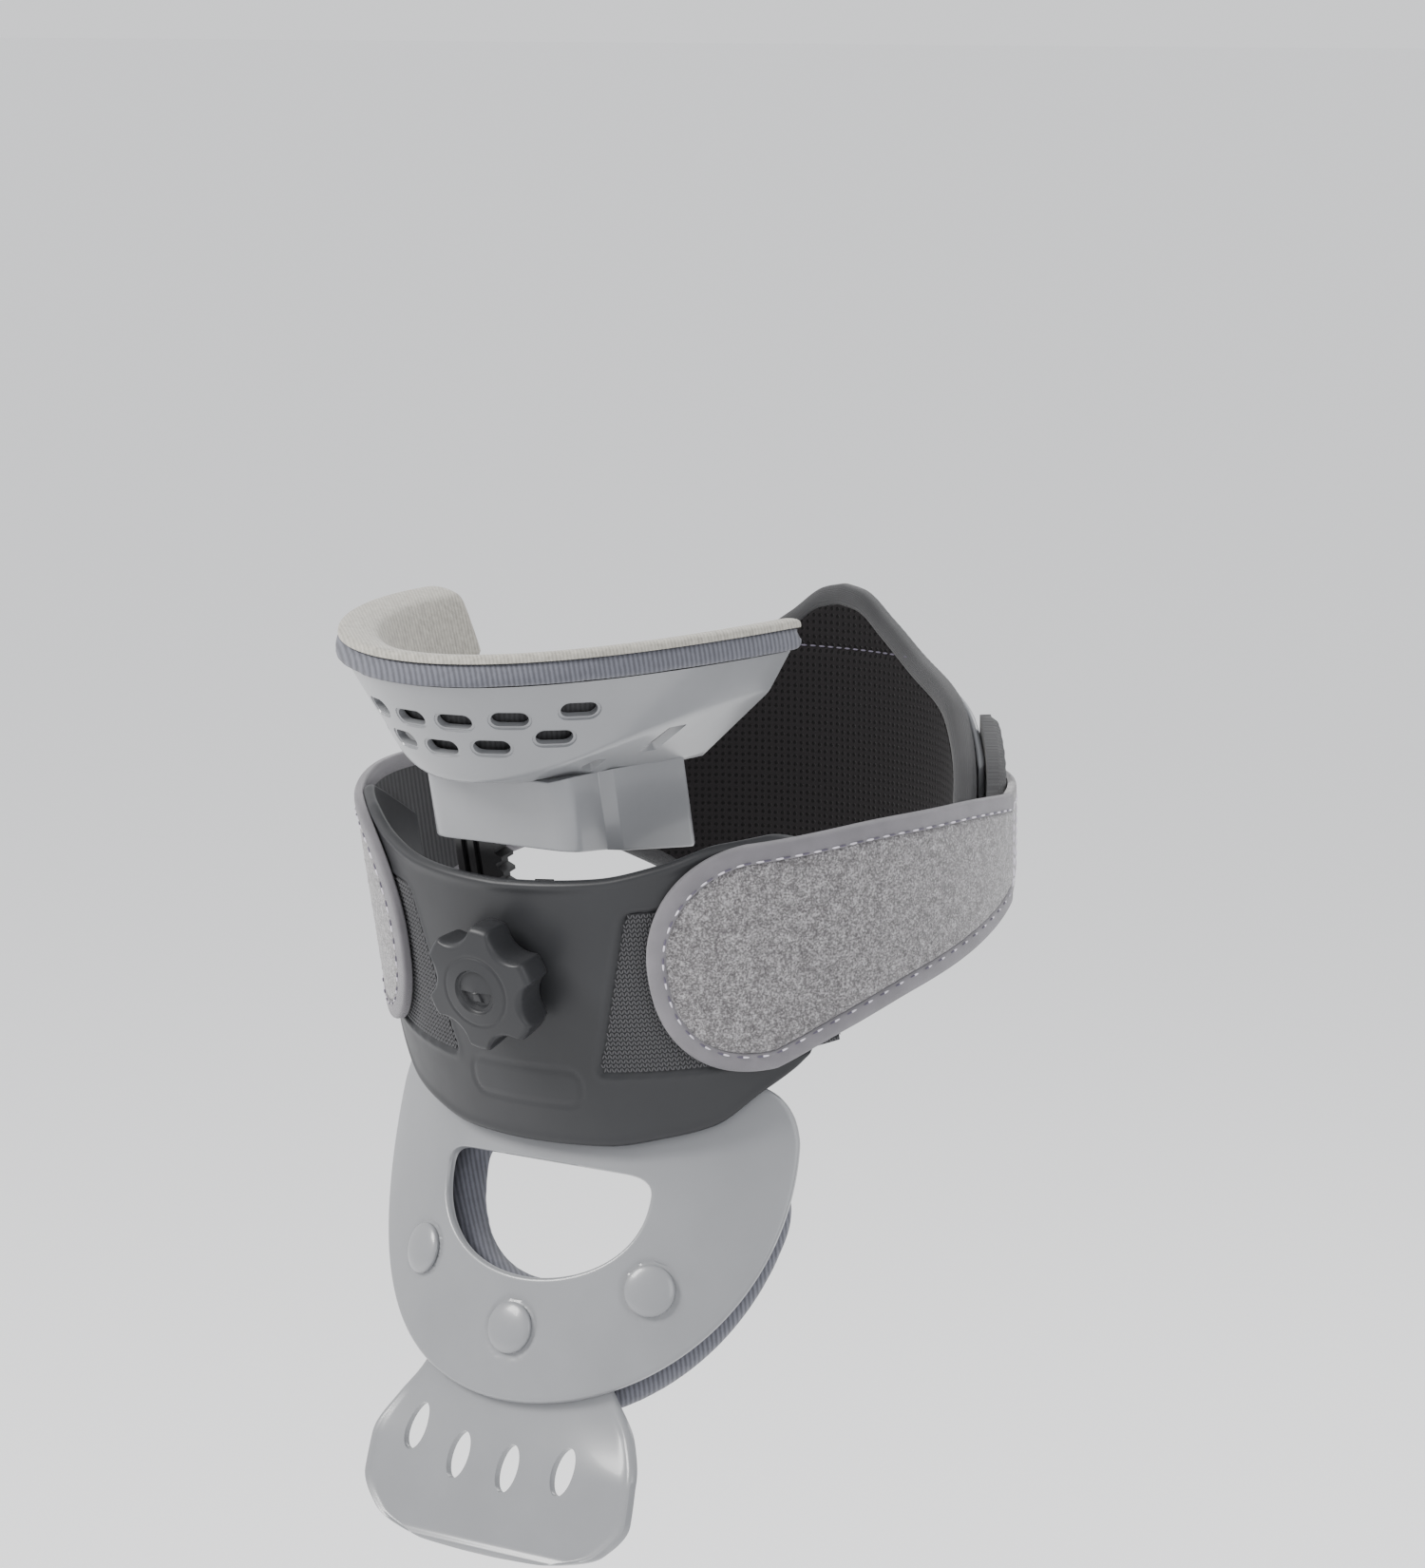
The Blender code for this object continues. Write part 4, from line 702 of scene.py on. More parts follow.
tray = {"halfWidth": 68.0, "length": 93.0, "back": -47.0, "rim": 80.0, "rimRise": 5.0, "crease": 49.4,
        "creaseRise": 22.6, "slope": 0.60, "wall": 2.6, "floorHalf": 34.0, "floorLength": 62.0,
        "floorBack": -44.0, "sideHoles": ((44, 0.50, 6.6, 8.0), (64, 0.36, 9.5, 14.0)),
        "floor": 47.0, "ventLength": 11.2, "ventHeight": 5.0, "ventPitch": 16.0}
shroud = {"face": 92.0, "halfFace": 20.0, "halfWidth": 27.0, "wall": 2.4, "rear": 76.0, "foot": 27.5,
          "wingFoot": 23.0, "wingBack": 42.0, "wingHalf": 35.5, "wingWall": 4.0, "ceiling": 62.0}


def rimPoint(turn):
    return (tray["halfWidth"] * math.sin(turn), tray["back"] - tray["length"] * math.cos(turn),
            tray["rim"] + tray["rimRise"] * math.sin(turn) ** 2)


def bandPoint(turn, share):
    z = rimPoint(turn)[2]
    drop = (z - tray["crease"] - tray["creaseRise"] * abs(math.sin(turn)) ** 2.4) * share
    inward = drop * tray["slope"]
    return ((tray["halfWidth"] - inward) * math.sin(turn),
            tray["back"] - (tray["length"] - inward) * math.cos(turn), z - drop)


def floorPoint(turn, share):
    a = bandPoint(turn, 1.0)
    b = (tray["floorHalf"] * math.sin(turn), tray["floorBack"] - tray["floorLength"] * math.cos(turn),
         tray["floor"] + 3.0 * math.sin(turn) ** 2)
    return tuple(a[k] + (b[k] - a[k]) * share for k in range(3))


def innerFloorPoint(turn):
    return (17.0 * math.sin(turn), -84.0 - 6.0 * math.cos(turn), tray["floor"])


def trayRow(turn):
    # from the rim down the band, round the soft crease and along the underside
    row = [bandPoint(turn, s) for s in (0, 0.012, 0.03, 0.06, 0.1, 0.18, 0.28, 0.38, 0.48, 0.58, 0.68, 0.78,
                                        0.86)]
    corners = (bandPoint(turn, 0.92), bandPoint(turn, 1.0), floorPoint(turn, 0.10))
    a, crease, b = (np.array(p) for p in corners)
    for s in spread(0, 1, 6):
        row.append(tuple(a * (1 - s) ** 2 + crease * 2 * s * (1 - s) + b * s * s))
    row += [floorPoint(turn, s) for s in (0.18, 0.3, 0.42, 0.54, 0.66, 0.78, 0.9, 1.0)]
    return row + [innerFloorPoint(turn)]


def offsetGrid(grid, distance):
    points = np.array(grid)
    normals = np.cross(np.gradient(points, axis=0), np.gradient(points, axis=1))
    normals /= np.linalg.norm(normals, axis=2, keepdims=True)
    return points + normals * distance


def surfaceFrame(place, turn, share):
    here = np.array(place(turn, share))
    along = np.array(place(turn + 0.01, share)) - here
    down = np.array(place(turn, share + 0.01)) - here
    outward = np.cross(down, along)
    outward = Vector(outward / np.linalg.norm(outward))
    level = Vector((0, 0, 1)).cross(outward).normalized()
    return Vector(here), outward, level, level.cross(outward).normalized()


def standing(name, outline, spot, low, high, draft=1.0):
    # a prism on a surface: outline in (level, up), running from low to high along the outward direction
    here, outward, level, down = spot
    loops = []
    for depth, scale in ((low, 1.0), (high, draft)):
        loops.append([tuple(here + outward * depth + level * (a * scale) - down * (b * scale))
                      for a, b in outline])
    return sweep(name, loops, None)


def slotOutline(length, height, steps=10):
    reach, radius = length / 2 - height / 2, height / 2
    loop = []
    for side in (1, -1):
        for k in range(steps + 1):
            turn = math.pi / 2 - math.pi * k / steps
            loop.append((side * (reach + radius * math.cos(turn)), side * radius * math.sin(turn)))
    return loop


def roundedOutline(corners, radius, steps=5):
    # rounds each corner of a convex outline with a small arc
    loop = []
    count = len(corners)
    for k in range(count):
        here = Vector(corners[k])
        before = (Vector(corners[k - 1]) - here).normalized()
        after = (Vector(corners[(k + 1) % count]) - here).normalized()
        for s in spread(0, 1, steps):
            a, b = here + before * radius, here + after * radius
            loop.append(tuple(a * (1 - s) ** 2 + here * 2 * s * (1 - s) + b * s * s))
    return loop


def turnAtWidth(x, share):
    turn = 0.0
    for _ in range(40):
        turn += (x - bandPoint(turn, share)[0]) / tray["halfWidth"]
    return turn


def trayCutters():
    cutters = []
    pitch = tray["ventPitch"]
    rows = ((0.37, [(k + 0.5) * pitch for k in range(-3, 3)]), (0.65, [k * pitch for k in range(-2, 3)]))
    for row, (share, xs) in enumerate(rows):
        for index, x in enumerate(xs):
            spot = surfaceFrame(bandPoint, turnAtWidth(x, share), share)
            name = f"vent{row}{index}"
            cutters.append(standing(name, slotOutline(tray["ventLength"], tray["ventHeight"]), spot, -6, 5))
            recess = slotOutline(tray["ventLength"] + 1.6, tray["ventHeight"] + 1.4)
            cutters.append(standing(name + "Recess", recess, spot, -0.7, 3, 1.3))
    for side in (-1, 1):
        for index, (degrees, share, width, height) in enumerate(tray["sideHoles"]):
            w, h = width / 2, height / 2
            corners = [(-w, -h), (w * 0.6, -h), (w, h), (-w * 0.6, h)]
            if index == 0:
                corners = [(-w, 0), (-w * 0.3, -h), (w, -h), (w, h), (-w * 0.3, h)]
            corners = [(side * a, b) for a, b in corners]
            spot = surfaceFrame(floorPoint, side * math.radians(degrees), share)
            cutters.append(standing(f"sideHole{side}{index}", roundedOutline(corners, 0.9), spot, -7, 5))
    return cutters


def shroudOutline():
    face, rear, back = -shroud["face"], -shroud["rear"], -shroud["wingBack"]
    wide, wall = shroud["wingHalf"], shroud["wingWall"]
    half = [(shroud["halfFace"], face)]
    for k in range(1, 9):
        turn = math.radians(90 * k / 8)
        reach = shroud["halfWidth"] - shroud["halfFace"]
        half.append((shroud["halfFace"] + reach * math.sin(turn), face + 5.5 * (1 - math.cos(turn))))
    half += [(shroud["halfWidth"] - 0.3, face + 13), (shroud["halfWidth"] - 0.2, face + 17),
             (shroud["halfWidth"] + 3.4, face + 20), (wide - 0.6, back - 3), (wide - 0.9, back - 0.4),
             (wide - 2, back + 0.6), (wide - wall, back + 0.5), (shroud["halfWidth"] - 1, rear + 14),
             (shroud["halfFace"] + 2, rear)]
    return half + [(-x, y) for x, y in reversed(half)]


def shroudLoops(outline):
    loops = []
    for height, scale in ((0, 0.985), (0.8, 1.0), (None, 1.0)):
        loop = []
        for x, y in outline:
            foot = shroud["foot"] + (shroud["wingFoot"] - shroud["foot"]) * (y + shroud["face"]) / 50
            buried = 1.4 + 3.0 * ease(abs(x), 18, 33)
            world = tray["floor"] + buried if height is None else foot + height
            z = (world - y * math.sin(braceLean)) / math.cos(braceLean)
            middle = -shroud["rear"] - 4
            loop.append(leaned((x * scale, middle + (y - middle) * scale, z), braceLean))
        loops.append(loop)
    return loops


def addShroud():
    block = sweep("tray_shroud", shroudLoops(shroudOutline()), finishes["light"], angle=34)
    inside = shroud["halfWidth"] - shroud["wall"] - 0.4
    front, rear = -shroud["face"] + shroud["wall"], -shroud["rear"] - shroud["wall"]
    loop = [(shroud["halfFace"] - 1, front), (inside, front + 4.4), (inside, rear), (-inside, rear),
            (-inside, front + 4.4), (-shroud["halfFace"] + 1, front)]
    heights = (20, shroud["ceiling"])
    cavity = sweep("cavity", [[leaned((x, y, z), braceLean) for x, y in loop] for z in heights], None)
    cutWith(block, [cavity])
    bevel = block.modifiers.new("softEdges", "BEVEL")
    bevel.width = 0.7 * mm
    bevel.segments = 3
    bevel.limit_method = "ANGLE"
    bevel.angle_limit = math.radians(38)
    bpy.context.view_layer.update()
    applied(block)
    block.data.shade_smooth()
    block.data.set_sharp_from_angle(angle=math.radians(38))
    settle(block, "chin_support", "light_plastic")


def addTray():
    outer = [trayRow(math.radians(d)) for d in spread(-90, 90, 181)]
    inner = offsetGrid(outer, tray["wall"]).tolist()
    for row, degrees in zip(inner, spread(-90, 90, len(inner))):
        x, y, z = rimPoint(math.radians(degrees))
        scale = 1 - tray["wall"] * 1.18 / tray["halfWidth"]
        for k, sink in ((0, 0.0), (1, 0.25), (2, 0.6)):
            row[k][2] = min(row[k][2], z - sink)
        lengthScale = 1 - tray["wall"] * 1.18 / tray["length"]
        row[0][0], row[0][1] = x * scale, tray["back"] + (y - tray["back"]) * lengthScale
    piece = shell("tray_shell", inner, outer, finishes["light"])
    cutWith(piece, trayCutters())
    settle(piece, "chin_support", "light_plastic", "chin_tray")
    addShroud()


addTray()
print("chin tray done")


pad = {"depth": 12.0, "overhang": 3.0, "rise": 9.0, "thickness": 7.0, "skin": 1.2, "deeperInFront": 14.0,
       "ends": ((3.5, 0.84), (2.9, 0.94), (1.6, 0.99))}


def aroundRim(turn, out, up):
    x, y, z = rimPoint(turn)
    slope = Vector((math.sin(turn) / tray["halfWidth"], -math.cos(turn) / tray["length"], 0)).normalized()
    return (x + slope.x * out, y + slope.y * out, z + up)


def smoothLoop(corners, steps, tight=0.5):
    # rounds a closed section with a quadratic curve through the middles of its sides
    loop = []
    count = len(corners)
    for k in range(count):
        before, here, after = (Vector(corners[(k + s) % count]) for s in (-1, 0, 1))
        a, b = here.lerp(before, tight), here.lerp(after, tight)
        for s in spread(0, 1, steps + 1)[:-1]:
            loop.append(tuple(a * (1 - s) ** 2 + here * 2 * s * (1 - s) + b * s * s))
    return loop


def padCorners(turn):
    depth = pad["depth"] + pad["deeperInFront"] * math.cos(turn) ** 2
    edge = -pad["thickness"] - 3.5
    seat = tray["wall"] * 1.18 + 0.8
    slope = tray["slope"]
    rise = pad["rise"] - pad["skin"]
    return [(2.6, 0.4), (pad["overhang"] + 0.3, 1.2), (pad["overhang"] - 0.1, rise - 2.2), (0.8, rise),
            (-pad["thickness"] * 0.6, rise), (edge + 2, rise - 2), (edge, rise - 4.5),
            (edge - depth * slope, -depth), (-seat - 0.8 - depth * slope, -depth), (-seat, -1.0),
            (-seat, 0.4)]


def sweptPad(name, corners, finish, steps=4, count=150):
    loops, weave = [], []
    for degrees in spread(-90, 90, count):
        turn = math.radians(degrees)
        section = smoothLoop(corners(turn), steps, 0.42)
        loops.append([aroundRim(turn, out, up) for out, up in section])
    for position, place in ((0, 0), (-1, len(loops))):
        end = np.array(loops[position])
        middle = end.mean(axis=0)
        tips = [(middle + (end - middle) * scale + (0, shift, 0)).tolist() for shift, scale in pad["ends"]]
        loops[place:place] = tips if place == 0 else tips[::-1]
    for index, loop in enumerate(loops):
        weave.append([(index * 1.9, k * 1.3, 0.0) for k in range(len(loop))])
    return sweep(name, loops, finish, weave=weave, angle=70)


def coverCorners(turn):
    # the pale face fabric, from the outer shoulder over the top and down inside
    depth = pad["depth"] - 1 + pad["deeperInFront"] * math.cos(turn) ** 2
    rise = pad["rise"] - pad["skin"] + 0.35
    edge = -pad["thickness"] - 3.9
    slope = tray["slope"]
    skin = pad["skin"]
    outer = [(2.4, rise - 1.0), (2.1, rise + 0.8), (0.4, rise + skin + 0.3),
             (-pad["thickness"] * 0.55, rise + skin), (edge + 1.2, rise - 0.6), (edge - skin, rise - 4.2),
             (edge - skin - depth * slope, -depth)]
    inner = [(edge - depth * slope, -depth), (edge, rise - 4.8), (edge + 1.9, rise - 2.2),
             (-pad["thickness"] * 0.5, rise), (0.6, rise + 0.1), (1.9, rise - 1.0)]
    return outer + inner


def puff(piece, cap, voxel=2.0, pressure=4.0, frames=20):
    # remeshed evenly, swollen by a short cloth simulation, then subdivided; no point moves further than cap
    work = bpy.data.objects.new(piece.name + "Work", piece.data.copy())
    bpy.context.scene.collection.objects.link(work)
    remesh = work.modifiers.new("voxels", "REMESH")
    remesh.mode = "VOXEL"
    remesh.voxel_size = voxel * mm
    bpy.context.view_layer.update()
    applied(work)
    rest = np.empty(len(work.data.vertices) * 3, np.float32)
    work.data.vertices.foreach_get("co", rest)
    cloth = work.modifiers.new("foam", "CLOTH")
    cloth.settings.use_pressure = True
    cloth.settings.uniform_pressure_force = pressure
    cloth.settings.quality = 4
    cloth.settings.tension_stiffness = 40
    cloth.settings.bending_stiffness = 8
    cloth.settings.effector_weights.gravity = 0
    cloth.point_cache.frame_start = 1
    cloth.point_cache.frame_end = frames
    for step in range(1, frames + 1):
        bpy.context.scene.frame_set(step)
    applied(work)
    bpy.context.scene.frame_set(1)
    moved = np.empty_like(rest)
    work.data.vertices.foreach_get("co", moved)
    step = (moved - rest).reshape(-1, 3)
    length = np.maximum(np.linalg.norm(step, axis=1, keepdims=True), 1e-9)
    step *= np.minimum(1.0, cap * mm / length)
    work.data.vertices.foreach_set("co", (rest.reshape(-1, 3) + step).ravel())
    relax = work.modifiers.new("relax", "SMOOTH")
    relax.factor = 0.5
    relax.iterations = 3
    fine = work.modifiers.new("fine", "SUBSURF")
    fine.levels = 1
    fine.render_levels = 1
    bpy.context.view_layer.update()
    applied(work)
    work.data.shade_smooth()
    finish = piece.data.materials[0]
    piece.data = work.data
    piece.data.materials.clear()
    piece.data.materials.append(finish)
    bpy.data.objects.remove(work)
    print(piece.name, "swollen by up to", round(float(length.max()) / mm, 2), "mm before the cap")
    return piece


def addChinPad():
    body = sweptPad("chin_foam", padCorners, finishes["padEdge"])
    puff(body, 0.5, 1.5)
    paintWhere(body, finishes["hook"], lambda middle, _: middle.y < tray["back"] - 0.5
               and middle.z < tray["rim"] + tray["rimRise"] * (middle.x / tray["halfWidth"]) ** 2 - 1)
    settle(body, "chin_support", "pad_foam", "chin_pad")
    cover = sweptPad("chin_face", coverCorners, finishes["padFace"])
    settle(cover, "chin_support", "chin_fabric", "chin_pad_cover")


addChinPad()
print("chin pad done")


chest = {"radius": 125.0, "centre": 67.8, "wall": 3.0, "disc": 82.0, "discCentre": -85.0, "top": -60.0,
         "steps": ((33.0, -80.0), (50.5, -75.0)), "window": -110.0, "edge": 1.2, "gap": 0.6,
         "padRadius": 85.5, "padTop": -84.0, "padThickness": 13.0, "margin": 2.0, "extensionWall": 2.4,
         "caps": ((-44.0, -126.5), (0.0, -145.0), (44.0, -126.5)), "capRadius": 7.9}
extension = {"outline": ((24, -132), (30, -150), (37, -161), (45, -172), (50, -184), (50.5, -196),
                         (43, -207), (24, -213), (0, -214)),
             "slots": ((-32.5, -180, 12), (-14, -186, 12), (5, -187, 10), (25, -184.5, 10)),
             "slotLength": 15.0, "slotWidth": 7.2, "lip": 0.7}


def onChest(arc, height, depth=0.0):
    turn = arc / chest["radius"]
    radius = chest["radius"] - depth
    return (radius * math.sin(turn), chest["centre"] - radius * math.cos(turn), height)


def leanChest(point):
    return leaned(point, chestLean)


def reachTo(outline, centre, turn):
    far = 0.0
    dx, dz = math.sin(turn), math.cos(turn)
    count = len(outline)
    for k in range(count):
        ax, az = outline[k][0] - centre[0], outline[k][1] - centre[1]
        ex, ez = outline[(k + 1) % count][0] - centre[0] - ax, outline[(k + 1) % count][1] - centre[1] - az
        cross = dx * ez - dz * ex
        if abs(cross) > 1e-12:
            along = (ax * ez - az * ex) / cross
            share = (ax * dz - az * dx) / cross
            if along > 0 and -1e-9 <= share <= 1 + 1e-9:
                far = max(far, along)
    return far


def windowOutline(margin=0.0):
    top, half, low = -93.5 + margin, 39.0 + margin, 35.5 + margin
    loop = []
    for k in range(65):
        turn = math.radians(-90 + 180 * k / 64)
        loop.append((half * math.sin(turn), top - 5.5 - (low - 5.5) * math.cos(turn) ** 0.9))
    corner = [(half, top - 5.5), (half, top), (half - 9, top)]
    arc = []
    for s in spread(0.1, 1, 10):
        arc.append(tuple(corner[0][k] * (1 - s) ** 2 + corner[1][k] * 2 * s * (1 - s) + corner[2][k] * s * s
                         for k in range(2)))
    return loop + arc + [(-x, z) for x, z in reversed(arc)]


def discOutline(radius, centre, top, corner=0.2):
    # a disc with a straight top; each end of the top is rounded, corner being the arc it takes
    start = math.asin((top - centre) / radius)
    sweepAngle = math.pi + 2 * (start - corner)
    arc = []
    for k in range(161):
        turn = start - corner - sweepAngle * k / 160
        arc.append((radius * math.cos(turn), centre + radius * math.sin(turn)))
    peak = (radius * math.cos(start), top)
    along = (peak[0] - radius * corner, top)
    bend = [tuple(along[k] * (1 - s) ** 2 + peak[k] * 2 * s * (1 - s) + arc[0][k] * s * s for k in range(2))
            for s in spread(0, 0.92, 10)]
    return bend + arc + [(-x, z) for x, z in reversed(bend)]


def plateDepth(arc, height, edge):
    # 0 on the front face; positive sinks in
    sink = roundedEdge(edge, chest["edge"])
    for x, z in chest["caps"]:
        away = math.hypot(arc - x, height - z)
        sink += 0.45 * bump(away - chest["capRadius"] - 0.9, 0.5)
    return sink


def ringShell(name, outer, window, count, rows, depthAt, back, finish):
    # a curved plate with a window, between its front depth and its back
    centre = (0.0, chest["window"])
    turns = [2 * math.pi * k / count for k in range(count)]
    front, behind, weave = [], [], []
    for turn in turns:
        far, near = reachTo(outer, centre, turn), reachTo(window, centre, turn)
        lines = [[], [], []]
        for k in range(rows):
            s = 0.5 - 0.5 * math.cos(math.pi * k / (rows - 1))
            s = s * 0.6 + 0.4 * k / (rows - 1)
            r = near + (far - near) * s
            arc, height = r * math.sin(turn), centre[1] + r * math.cos(turn)
            edge = min(r - near, far - r)
            lines[0].append(leanChest(onChest(arc, height, depthAt(arc, height, edge))))
            lines[1].append(leanChest(onChest(arc, height, back - roundedEdge(edge, min(back * 0.3, 4.0)))))
            lines[2].append((arc, height, 0.0))
        front.append(lines[0])
        behind.append(lines[1])
        weave.append(lines[2])
    return shell(name, behind, front, finish, closed=True, weave=weave, angle=50)


def chestBlock(name, half, low, high):
    corners = ((-half, -75), (half, -75), (half, -20), (-half, -20))
    return sweep(name, [[leanChest((x, y, z)) for x, y in corners] for z in (low, high)], None)


def addPlate():
    disc = discOutline(chest["disc"], chest["discCentre"], chest["top"])
    piece = ringShell("plate_shell", disc, windowOutline(), 360, 44, plateDepth, chest["wall"],
                      finishes["light"])
    cutters = [chestBlock(f"step{index}", half, low, -45 + index)
               for index, (half, low) in enumerate(chest["steps"])]
    cutWith(piece, cutters)
    settle(piece, "chest_support", "light_plastic", "chest_plate")
    addPlateLugs()


def addPlateLugs():
    # the hinge lugs behind the plate, rebuilt on the frame's pivot
    joint = [j for j in frame["joints"] if j["name"] == "chest_tilt"][0]
    pivot = leaned([c / mm for c in joint["pos_m"]], -chestLean)
    for side, word in ((-1, "right"), (1, "left")):
        turns = [math.radians(135 - 195 * k / 24) for k in range(25)]
        loop = [(pivot[1] + 4.4 * math.cos(a), pivot[2] + 4.4 * math.sin(a)) for a in turns]
        root = onChest(47, 0, chest["wall"])[1] - chest["wall"] * 0.5
        loop += [(root, pivot[2] - 28.4), (root, pivot[2] - 17.1)]
        loops = [[leanChest((side * x, y, z)) for y, z in loop] for x in (44, 44.4, 46.6, 47)]
        piece = sweep("plate_lug_" + word, loops, finishes["light"])
        settle(piece, "chest_support", "light_plastic")


def capPoint(index, radius, turn, rise):
    # a point on a stud cap, measured outwards from the plate
    arc, height = chest["caps"][index]
    x, y, z = onChest(arc, height)
    a = arc / chest["radius"]
    across, out = radius * math.cos(turn), -rise
    return leanChest((x + across * math.cos(a) - out * math.sin(a),
                      y + across * math.sin(a) + out * math.cos(a), z + radius * math.sin(turn)))


def addCaps():
    words = ("right", "center", "left")
    reach = chest["wall"] + chest["extensionWall"] + 2 * chest["gap"] + chest["padThickness"]
    for index, word in enumerate(words):
        profile = [(3.0, -reach - 1.9), (3.0, -0.3), (7.5, -0.3), (7.9, 0.1), (7.9, 0.7)]
        profile += [(7.9 * math.cos(a), 0.7 + 2.0 * math.sin(a)) for a in spread(0.12, 1.5, 12)]
        loops = []
        for radius, rise in profile:
            loops.append([capPoint(index, radius, 2 * math.pi * k / 72, rise) for k in range(72)])
        piece = sweep("stud_cap_" + word, loops, finishes["light"], angle=50)
        settle(piece, "chest_support", "light_plastic", "chest_cap_" + word)


def addChestPad():
    front = chest["wall"] + chest["extensionWall"] + 2 * chest["gap"]

    def depthAt(arc, height, edge):
        return front + 0.7 + roundedEdge(edge, 3.5)
    outline = discOutline(chest["padRadius"] - 0.6, chest["discCentre"] - 2, chest["padTop"] - 0.6)
    piece = ringShell("chest_foam", outline, windowOutline(chest["margin"] + 0.6), 240, 20, depthAt,
                      front + chest["padThickness"] - 0.7, finishes["padEdge"])
    puff(piece, 0.6)
    settle(piece, "chest_support", "pad_foam", "chest_pad")


def extensionPoint(x, height, depth):
    _, y, z = onChest(x, height, depth)
    flat = onChest(0, height, depth)[1]
    share = 1 - 0.75 * ease(-height, 162, 186)
    return (x, flat + (y - flat) * share, z)


def addExtension():
    half = curveThrough([(-z, x) for x, z in extension["outline"] if x > 0] + [(214, 5.0)])
    front = chest["wall"] + chest["gap"]
    back = front + chest["extensionWall"]
    heights = spread(-132, -205, 90) + [-205 - 9 * math.sin(math.pi / 2 * k / 24) for k in range(1, 25)]
    outer, inner = [], []
    for height in heights:
        width = half(-height)
        rows = [[], []]
        for k in range(61):
            s = -math.cos(math.pi * k / 60) * 0.5 + (k / 30 - 1) * 0.5
            edge = min(width * (1 - abs(s)), height + 214.0, -132 - height)
            lip = extension["lip"] * bump(edge - 1.7, 1.3) * ease(-height, 160, 170)
            face = front + roundedEdge(edge, 1.1) - lip
            rows[0].append(leanChest(extensionPoint(width * s, height, face)))
            rows[1].append(leanChest(extensionPoint(width * s, height, back - roundedEdge(edge, 1.0))))
        outer.append(rows[0])
        inner.append(rows[1])
    piece = shell("extension_shell", inner, outer, finishes["light"])
    cutters = []
    for index, (x, height, tilt) in enumerate(extension["slots"]):
        middle = Vector(extensionPoint(x, height, front))
        loops = []
        for y, grow in ((-8, 2.6), (-0.1, 1.06), (0.9, 1.0), (8, 1.0)):
            loop = []
            for k in range(40):
                a = 2 * math.pi * k / 40
                u = extension["slotWidth"] / 2 * grow * math.cos(a)
                v = extension["slotLength"] / 2 * (1 + (grow - 1) * 0.4) * math.sin(a)
                t = math.radians(tilt)
                loop.append(leanChest((middle.x + u * math.cos(t) + v * math.sin(t), middle.y + y,
                                       middle.z - u * math.sin(t) + v * math.cos(t))))
            loops.append(loop)
        cutters.append(sweep(f"slot{index}", loops, None))
    cutWith(piece, cutters)
    settle(piece, "chest_support", "light_plastic", "chest_extension")


addPlate()
addCaps()
addChestPad()
addExtension()
print("chest support done")


strap = {"tip": 27.3, "round": 47.0, "middle": 11.8, "upper": 35.3, "seam": 112.0, "thickness": 2.8,
         "binding": 5.8, "bindingThickness": 3.4, "uprightFrom": 80.0, "uprightTo": 106.0, "anchorEnd": 42.0,
         "top": ((47, 47.1), (67, 44.7), (90, 37.0), (112, 25.3)),
         "bottom": ((47, -24.0), (60, -17.4), (75, -12.8), (92, -11.2), (112, -10.2))}
strapTopAt = curveThrough(strap["top"])
strapBottomAt = curveThrough(strap["bottom"])
strapBase = ring["radius"] + 0.3


def strapEdges(phi):
    if phi >= strap["round"]:
        return strapBottomAt(phi), strapTopAt(phi)
    share = min((strap["round"] - phi) / (strap["round"] - strap["tip"]), 1.0)
    high = strap["middle"] + strap["upper"] * math.sqrt(max(1 - share ** 2, 0))
    low = strap["middle"] + (strap["bottom"][0][1] - strap["middle"]) * max(1 - share ** 2.4, 0) ** (1 / 2.4)
    return low, high


def strapPoint(side, phi, z, radius):
    a = math.radians(phi)
    x, y = radius * math.sin(a), -radius * math.cos(a)
    upright = leaned((x, y, z), braceLean)
    depth = upright[1] + (y - upright[1]) * ease(phi, strap["uprightFrom"], strap["uprightTo"])
    return (side * x, depth, upright[2])


def strapLoop(inset, end, count):
    # the outline inset by some millimetres: upper and lower edge from the free end to the seam
    tip = strap["tip"] + math.degrees(inset / ring["radius"])
    phis = [tip + (end - tip) * (1 - math.cos(math.pi / 2 * k / count)) for k in range(count, -1, -1)]
    upper, lower = [], []
    for phi in phis:
        share = max(0.0, (phi - tip) / (strap["round"] - tip))
        place = strap["tip"] + (strap["round"] - strap["tip"]) * share if phi < strap["round"] else phi
        low, high = strapEdges(place)
        middle = (low + high) / 2
        reach = (high - low) / 2 * (1 - inset / 35.5) if phi < strap["round"] else (high - low) / 2 - inset
        upper.append((phi, middle + reach))
        lower.append((phi, middle - reach))
    return upper, lower


def addStrapCore(side, word):
    upper, lower = strapLoop(strap["binding"] - 0.6, strap["seam"] - 0.2, 120)

    def rowsAt(column):
        (phi, high), (_, low) = column
        for z in spread(low, high, 46):
            edge = min(high - z, z - low, (phi - upper[-1][0]) * 1.71)
            puffed = strap["thickness"] + 0.25 - roundedEdge(edge, 2.2) * 0.6
            puffed += 0.22 * (noise.fractal(Vector((phi * 1.3, z * 0.8, side)), 0.7, 2.0, 4))
            yield (strapPoint(side, phi, z, strapBase + puffed), strapPoint(side, phi, z, strapBase + 0.15),
                   (phi * 1.7, z, 0.0))
    piece = sheet("strap_pile_" + word, zip(upper[:-1], lower[:-1]), rowsAt, finishes["loop"])
    paintWhere(piece, finishes["hook"], lambda middle, normal: normal.x * middle.x + normal.y * middle.y < 0)
    settle(piece, "wrap_strap_" + word, "loop_fabric", "strap_" + word)


